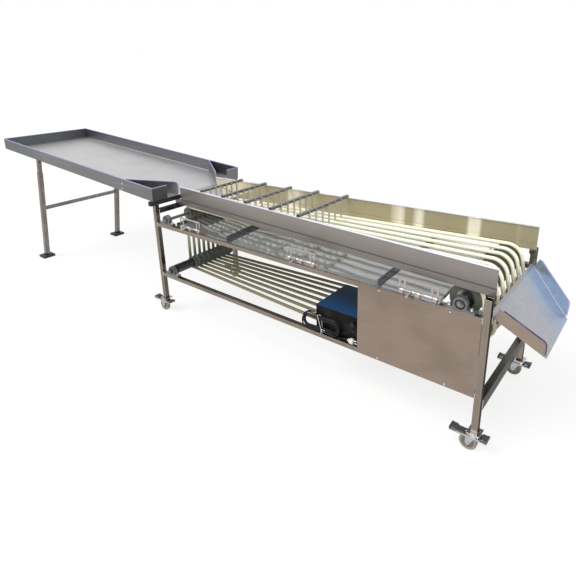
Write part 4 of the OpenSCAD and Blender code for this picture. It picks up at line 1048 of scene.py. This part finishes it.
def loop_line(circles, run_step, turn_step):
    """Points (x, z) and outward directions along a closed loop over circles."""
    count = len(circles)
    line = []
    for k, here in enumerate(circles):
        after = circles[(k + 1) % count]
        turn_in = heading(circles[k - 1], here) + math.pi / 2
        turn_out = heading(here, after) + math.pi / 2
        swing = (turn_in - turn_out) % (2 * math.pi)
        steps = max(2, round(swing / turn_step))
        for j in range(steps + 1):
            a = turn_in - swing * j / steps
            line.append((here[0] + here[2] * math.cos(a), here[1] + here[2] * math.sin(a), a))
        ahead = (after[0] + after[2] * math.cos(turn_out), after[1] + after[2] * math.sin(turn_out))
        last = line[-1]
        run = math.hypot(ahead[0] - last[0], ahead[1] - last[1])
        rings = max(2, round(run / run_step))
        for j in range(1, rings):
            t = j / rings
            line.append((last[0] + t * (ahead[0] - last[0]), last[1] + t * (ahead[1] - last[1]), turn_out))
    return line


class GRADER_OT_ropes(bpy.types.Operator):
    """Runs the endless grading ropes over their rollers"""

    bl_idname = "grader.ropes"
    bl_label = "Grading ropes"

    def execute(self, context):
        infeed = sorted(middle(box).y for box in islands("infeed_sheaves"))
        drum = sorted(middle(box).y for box in islands("drive_sheaves"))
        for number, (y_in, y_out) in enumerate(zip(infeed, drum), 1):
            rope = self.make_rope(f"grading_rope_{number}", y_in, y_out)
            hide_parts("rope_runs", "rope_turns")
        return {"FINISHED"}

    def make_rope(self, name, y_in, y_out):
        """One endless rope in its own upright plane."""
        sizes = settings().sizes
        circles = rope_circles()
        start, stop = circles[0][0], circles[1][0]
        lean = math.atan((y_out - y_in) / (stop - start))
        flat = [((x - start) / math.cos(lean), z, r) for x, z, r in circles]
        line = loop_line(flat, sizes.rope_step, ROPE_TURN_STEP)
        along = Vector((math.cos(lean), math.sin(lean), 0.0))
        across = Vector((-math.sin(lean), math.cos(lean), 0.0))
        origin = Vector((start, y_in, 0.0))
        radius = sizes.rope_d / 2

        def build(shape):
            layer = shape.loops.layers.uv.new("UVMap")
            rings, ways, way, last = [], [], 0.0, None
            for s, z, a in line:
                point = origin + along * s + Vector((0, 0, z))
                out = along * math.cos(a) + Vector((0, 0, math.sin(a)))
                way += (point - last).length if last is not None else 0.0
                last = point
                ways.append(way)
                rings.append([
                    shape.verts.new(point + radius * (math.cos(t) * out + math.sin(t) * across))
                    for t in (2 * math.pi * j / sizes.rope_sides for j in range(sizes.rope_sides))
                ])
            ways.append(way + (last - (origin + along * line[0][0] + Vector((0, 0, line[0][1])))).length)
            faces = bridge(shape, rings, True)
            girth = 2 * math.pi * radius
            for k, face in enumerate(faces):
                ring, j = divmod(k, sizes.rope_sides)
                corners = ((ring, j), (ring, j + 1), (ring + 1, j + 1), (ring + 1, j))
                for loop, (r, side) in zip(face.loops, corners):
                    loop[layer].uv = (ways[r], girth * side / sizes.rope_sides)

        return add_piece(name, build, "frame", "rope")


# Points this near a part's upper or lower limit count as its crest or sole
AT_LIMIT = 0.5 * MM
# Share of a lip's radius that its middle lies under the crest
LIP_SUNK = 0.7


class GRADER_OT_sheets(bpy.types.Operator):
    """Finishes the tray, walls, outlets, panel and chute, with their edging"""

    bl_idname = "grader.sheets"
    bl_label = "Sheet metal"

    def execute(self, context):
        dress(SHEET_PARTS)

        def bends(shape):
            for start, end in (TRAY_BEND, CHUTE_BEND):
                sweep(shape, [Vector(start), Vector(end)], settings().sizes.bend_r, 12)

        def lips(shape):
            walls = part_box("bed_walls")
            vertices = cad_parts["bed_walls"].data.vertices
            crest = [v.co for v in vertices if v.co.z > walls[1].z - AT_LIMIT]
            radius = settings().sizes.lip_r
            for side in (-1, 1):
                edge = []
                for first in (True, False):
                    end = [p for p in crest if p.y * side > 0 and (p.x < middle(walls).x) == first]
                    outermost = max(end, key=lambda p: p.y * side)
                    edge.append(outermost - Vector((0, 0, LIP_SUNK * radius)))
                sweep(shape, edge, radius, 12)

        add_piece("wall_lips", lips, "frame", "lip")
        add_piece("floor_bends", bends, "frame", "bright")
        return {"FINISHED"}


# Weld ripples: their spacing, their share of the bead's radius, and the spacing of the bead's own rings
RIPPLE, RIPPLE_SHARE, WELD_STEP = 4.4 * MM, 0.16, 1.1 * MM


def weld_ring(shape, box, axis, radius):
    """A rippled weld bead round a rectangle between two corners that lies across an axis."""
    low, high = box
    u, v = [i for i in range(3) if i != axis]
    corners = [(low[u], low[v]), (high[u], low[v]), (high[u], high[v]), (low[u], high[v])]
    points = []
    for k, (a, b) in enumerate(corners):
        c, d = corners[(k + 1) % 4]
        steps = max(8, round(math.hypot(c - a, d - b) / WELD_STEP))
        for j in range(steps):
            point = Vector((0, 0, 0))
            point[axis] = low[axis]
            point[u] = a + (c - a) * j / steps
            point[v] = b + (d - b) * j / steps
            points.append(point)

    def rippled(way):
        return radius * (1 + RIPPLE_SHARE * math.sin(2 * math.pi * way / RIPPLE))

    sweep(shape, points, rippled, 8, True)


class GRADER_OT_frame_tubes(bpy.types.Operator):
    """Finishes the frame and stand tubes and welds their joints"""

    bl_idname = "grader.frame_tubes"
    bl_label = "Frame tubes"

    def execute(self, context):
        dress(FRAME_PARTS)
        radius = settings().sizes.weld_r
        inset, shortest = 0.45 * radius, 100 * MM

        def welds(shape):
            for part, axis in (("upper_rails", 0), ("lower_rails", 0), ("cross_ties", 1)):
                for low, high in islands(part):
                    if high[axis] - low[axis] < shortest:
                        continue
                    for end in (low[axis], high[axis]):
                        near, far = low + Vector(even(inset)), high - Vector(even(inset))
                        near[axis] = far[axis] = end
                        weld_ring(shape, (near, far), axis, radius)

        add_piece("weld_beads", welds, "frame", "bright")
        self.make_boots()
        return {"FINISHED"}

    def make_boots(self):
        """A rubber boot round each foot plate of the stand, no wider than the machine."""
        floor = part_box("stand_frame")[0].z
        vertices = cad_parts["stand_frame"].data.vertices
        soles = [v.co for v in vertices if v.co.z < floor + AT_LIMIT]
        over, lift, rounding = 1.2 * MM, 0.2 * MM, 2.5 * MM
        height = settings().sizes.boot_h

        def build(shape):
            for side in (-1, 1):
                sole = [p for p in soles if p.y * side > 0]
                xs, ys = [p.x for p in sole], [p.y for p in sole]
                low = Vector((min(xs) - over, max(min(ys) - over, CAD_BOX[0][1]), floor + lift))
                high = Vector((max(xs) + over, min(max(ys) + over, CAD_BOX[1][1]), floor + height))
                block(shape, low, high)
            bmesh.ops.bevel(
                shape, geom=shape.edges[:], offset=rounding, segments=3, affect="EDGES", profile=0.5
            )

        add_piece("foot_boots", build, "stand", "boot")


# Outlines in millimetres, as (way out of the face, radius): the seal of a bearing, the hub cap of a wheel and
# the head of a bolt, and the places (x, z) of the bolts on the near tray wall, in metres
SEAL = ((-0.5, 15.6), (1.2, 15.6), (1.6, 17), (1.6, 21), (1.0, 22.5), (-0.5, 22.5))
HUB_CAP = ((-1, 11.2), (1.4, 11.2), (2.2, 13), (2.2, 22), (1.2, 25), (-1, 25))
BOLT_HEAD = ((-0.2, 0), (-0.2, 7), (0.4, 7), (0.6, 5), (2.6, 4.4), (3.6, 2.8), (3.9, 0))
TRAY_BOLTS = ((-0.441, 0.899), (-0.444, 0.862))
# Domed screw head with a socket, in shares of its height and radius
DOME = (
    (0, 0), (0, 1), (0.25, 1), (0.6, 0.9), (0.88, 0.68), (1, 0.42), (1, 0.36), (0.55, 0.34), (0.5, 0),
)


class GRADER_OT_rollers(bpy.types.Operator):
    """Finishes the rollers and sheaves and fits their bearings"""

    bl_idname = "grader.rollers"
    bl_label = "Rollers and bearings"

    SHAFTS = ("infeed_roller", "return_roller", "drive_shaft", "snub_roller", "guide_roller")

    def execute(self, context):
        dress(ROLLER_PARTS)
        shafts = [middle(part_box(name)) for name in self.SHAFTS]

        def seals(shape):
            for low, high in islands("pillow_blocks"):
                centre = middle((low, high))
                shaft = min(shafts, key=lambda p: math.hypot(p.x - centre.x, p.z - centre.z))
                for y, way in ((low.y, -1), (high.y, 1)):
                    turned(shape, SEAL, (shaft.x, y, shaft.z), (0, way, 0), 32)

        add_piece("bearing_seals", seals, "frame", "black")
        return {"FINISHED"}


class GRADER_OT_fasteners(bpy.types.Operator):
    """Makes the domed screw heads with their sockets, and the bolt heads on the tray wall"""

    bl_idname = "grader.fasteners"
    bl_label = "Screws"

    def execute(self, context):
        def heads(shape):
            for low, high in islands("screw_heads"):
                spread = high - low
                axis = min(range(3), key=lambda i: spread[i])
                way = Vector((0, 0, 0))
                way[axis] = -1 if axis == 1 else 1
                base = middle((low, high))
                base[axis] = high[axis] if axis == 1 else low[axis]
                outline = [(h * spread[axis], r * max(spread) / 2) for h, r in DOME]
                turned(shape, outline, base, way, 20, 1.0)
            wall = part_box("feed_tray")[0].y
            for x, z in TRAY_BOLTS:
                turned(shape, BOLT_HEAD, (x, wall, z), (0, -1, 0), 20)

        screws = add_piece("domed_screws", heads, "frame", "bright")
        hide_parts("screw_heads")
        return {"FINISHED"}


class GRADER_OT_gates(bpy.types.Operator):
    """Finishes the outlet gates and their hinges"""

    bl_idname = "grader.gates"
    bl_label = "Outlet gates"

    def execute(self, context):
        dress(GATE_PARTS)
        return {"FINISHED"}


class GRADER_OT_drive(bpy.types.Operator):
    """Finishes the control box, gearmotor, pulleys and belt"""

    bl_idname = "grader.drive"
    bl_label = "Control and drive"

    def execute(self, context):
        dress(DRIVE_PARTS)
        return {"FINISHED"}


# Brake pedal covers: the length of a pad, the gap between cover and pad, how far the web's top and sides
# stand back from the pad's, the web's depth, the arch's height, and the flare of the ends in width and height
PAD_LENGTH, PAD_GAP = 28 * MM, 0.9 * MM
WEB_DROP, WEB_INSET, WEB_DEPTH, ARCH = 3 * MM, 3.4 * MM, 7 * MM, 6 * MM
FLARE_WIDE, FLARE_HIGH = 1.6 * MM, 2.6 * MM
# How far before the pad and before its end a cover begins to broaden and to flare, and over what lengths
BROAD_LEAD, BROAD_RUN, FLARE_LEAD, FLARE_RUN = 7 * MM, 6 * MM, 16 * MM, 14 * MM
# Powers that square off the arch across and upwards
ARCH_ACROSS, ARCH_UP = 0.5, 0.7
# Inner ends of the two webs from the pedal's middle, by side, and steps along and across a cover
WEB_STARTS = ((-1, 18 * MM), (1, 44 * MM))
COVER_STEPS, ARCH_STEPS = 16, 8
# Depth of the wheel's side recess, in which the hub caps sit
HUB_RECESS = 7 * MM


class GRADER_OT_casters(bpy.types.Operator):
    """Finishes the casters and gives their brake pedals dark covers"""

    bl_idname = "grader.casters"
    bl_label = "Casters"

    def execute(self, context):
        dress(CASTER_PARTS)
        for k in CASTERS:
            self.make_hubs(k)
            self.make_covers(k)
        return {"FINISHED"}

    def make_hubs(self, k):
        """Hub caps on both sides of a wheel."""
        low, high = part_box(f"caster_wheel_{k}")
        centre = middle((low, high))
        out = (high.y - low.y) / 2 - HUB_RECESS

        def build(shape):
            for way in (-1, 1):
                turned(shape, HUB_CAP, centre + Vector((0, way * out, 0)), (0, way, 0), 28)

        add_piece(f"hub_caps_{k}", build, f"wheel_{k}", "hub")

    def make_covers(self, k):
        """Dark covers over the pads of a brake pedal, flared at their ends, with a web between its arms."""
        low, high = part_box(f"brake_pedal_{k}")
        centre = middle((low, high))
        reach, half = (high.x - low.x) / 2, (high.y - low.y) / 2
        web_top = high.z - WEB_DROP
        base = web_top - WEB_DEPTH

        def ring(shape, x, wide, top):
            """An arched cross-section of a cover."""
            arch = [(-wide, base)]
            for j in range(ARCH_STEPS + 1):
                a = math.pi * (1 - j / ARCH_STEPS)
                across = wide * math.copysign(abs(math.cos(a)) ** ARCH_ACROSS, math.cos(a))
                arch.append((across, top - ARCH + ARCH * math.sin(a) ** ARCH_UP))
            arch.append((wide, base))
            return [shape.verts.new((x, centre.y + y, z)) for y, z in arch]

        def build(shape):
            edge = reach - PAD_LENGTH
            for way, inner in WEB_STARTS:
                rings = []
                for j in range(COVER_STEPS + 1):
                    x = inner + (reach + PAD_GAP - inner) * j / COVER_STEPS
                    broad = eased((x - edge + BROAD_LEAD) / BROAD_RUN)
                    flare = eased((x - reach + FLARE_LEAD) / FLARE_RUN)
                    wide = half - WEB_INSET + broad * (WEB_INSET + PAD_GAP) + flare * FLARE_WIDE
                    top = web_top + broad * (WEB_DROP + PAD_GAP) + flare * FLARE_HIGH
                    rings.append(ring(shape, centre.x + way * x, wide, top))
                bridge(shape, rings, False)
                shape.faces.new(rings[0])
                shape.faces.new(rings[-1])

        add_piece(f"pedal_covers_{k}", build, f"pedal_{k}", "pad")


# Stage: half the floor's width, its drop under the machine, the share of its white that hides its shadow, the
# world's colour and strength, and each lamp's strength, spread and turn, in degrees
FLOOR_HALF, FLOOR_DROP, FLOOR_GLOW = 30.0, 0.2 * MM, 0.80
WORLD_COLOUR, WORLD_STRENGTH = (1.0, 0.99, 0.97, 1.0), 0.72
LAMPS = {"key": (2.3, 35, (38, 6, -32)), "fill": (0.5, 80, (60, 0, 70))}


class GRADER_OT_stage(bpy.types.Operator):
    """Sets the pale floor and the soft studio light"""

    bl_idname = "grader.stage"
    bl_label = "Stage"

    def execute(self, context):
        self.make_floor(context)
        self.make_world(context)
        self.make_lamps(context)
        context.scene.view_settings.view_transform = "Standard"
        return {"FINISHED"}

    def seen(self, tree):
        """1 for rays from the camera, a mirror or glass, else 0."""
        path = add_node(tree, "ShaderNodeLightPath")
        either = path.outputs["Is Camera Ray"]
        for ray in ("Is Glossy Ray", "Is Transmission Ray"):
            greater = add_node(tree, "ShaderNodeMath", operation="MAXIMUM")
            tree.links.new(either, greater.inputs[0])
            tree.links.new(path.outputs[ray], greater.inputs[1])
            either = greater.outputs["Value"]
        return either

    def blended(self, tree, factor, first, second, output):
        """Two shaders mixed by a factor and sent to an output node."""
        blend = add_node(tree, "ShaderNodeMixShader")
        tree.links.new(factor, blend.inputs["Fac"])
        tree.links.new(first.outputs[0], blend.inputs[1])
        tree.links.new(second.outputs[0], blend.inputs[2])
        tree.links.new(blend.outputs["Shader"], add_node(tree, output).inputs["Surface"])

    def make_floor(self, context):
        """A wide pale floor that keeps a soft shadow."""
        shape = bmesh.new()
        corners = [(x * FLOOR_HALF, y * FLOOR_HALF) for x, y in ((-1, -1), (1, -1), (1, 1), (-1, 1))]
        shape.faces.new([shape.verts.new((x, y, -FLOOR_DROP)) for x, y in corners])
        mesh = bpy.data.meshes.new("studio_floor")
        shape.to_mesh(mesh)
        shape.free()
        material = bpy.data.materials.new("studio_floor")
        material.use_nodes = True
        tree = material.node_tree
        tree.nodes.clear()
        matt = add_node(tree, "ShaderNodeBsdfDiffuse")
        matt.inputs["Color"].default_value = linear(settings().colours.floor)
        white = add_node(tree, "ShaderNodeEmission")
        share = add_node(tree, "ShaderNodeMath", operation="MULTIPLY")
        share.inputs[1].default_value = FLOOR_GLOW
        tree.links.new(self.seen(tree), share.inputs[0])
        self.blended(tree, share.outputs["Value"], matt, white, "ShaderNodeOutputMaterial")
        mesh.materials.append(material)
        floor = bpy.data.objects.new("studio_floor", mesh)
        context.scene.collection.objects.link(floor)

    def make_world(self, context):
        """Even white light, and white where the camera or a mirror looks past the floor."""
        world = bpy.data.worlds.new("studio")
        world.use_nodes = True
        tree = world.node_tree
        tree.nodes.clear()
        light = add_node(tree, "ShaderNodeBackground")
        light.inputs["Color"].default_value = WORLD_COLOUR
        light.inputs["Strength"].default_value = WORLD_STRENGTH
        white = add_node(tree, "ShaderNodeBackground")
        white.inputs["Color"].default_value = (1.0, 1.0, 1.0, 1.0)
        self.blended(tree, self.seen(tree), light, white, "ShaderNodeOutputWorld")
        context.scene.world = world

    def make_lamps(self, context):
        """A soft key from above and in front, and a broad fill."""
        for name, (strength, spread, turn) in LAMPS.items():
            lamp = bpy.data.lights.new(name, "SUN")
            lamp.energy = strength
            lamp.angle = math.radians(spread)
            made = bpy.data.objects.new(name, lamp)
            made.rotation_euler = [math.radians(t) for t in turn]
            context.scene.collection.objects.link(made)


OPERATORS = (
    GRADER_OT_camera, GRADER_OT_mains_cord, GRADER_OT_ropes, GRADER_OT_sheets, GRADER_OT_frame_tubes,
    GRADER_OT_rollers, GRADER_OT_fasteners, GRADER_OT_gates, GRADER_OT_drive, GRADER_OT_casters,
    GRADER_OT_stage,
)


class GRADER_PT_looks(bpy.types.Panel):
    """Lists what the machine is dressed with"""

    bl_idname = "GRADER_PT_looks"
    bl_label = "Fruit grading machine"
    bl_space_type = "VIEW_3D"
    bl_region_type = "UI"
    bl_category = "Grader"

    def draw(self, context):
        for step in OPERATORS:
            self.layout.operator(step.bl_idname)
        for group in (settings().view, settings().colours, settings().sizes):
            box = self.layout.box()
            for key in group.__annotations__:
                box.prop(group, key)


CLASSES = (GraderView, GraderColours, GraderSizes, GraderSettings, *OPERATORS, GRADER_PT_looks)


def register():
    """Adds the settings, operators and panel."""
    for kind in CLASSES:
        bpy.utils.register_class(kind)
    bpy.types.Scene.grader = PointerProperty(type=GraderSettings)


def unregister():
    """Takes the settings, operators and panel away."""
    del bpy.types.Scene.grader
    for kind in reversed(CLASSES):
        bpy.utils.unregister_class(kind)


def main():
    """Dresses the machine."""
    register()
    make_finishes()
    for step in OPERATORS:
        group, name = step.bl_idname.split(".")
        getattr(getattr(bpy.ops, group), name)()


if __name__ == "__main__":
    main()
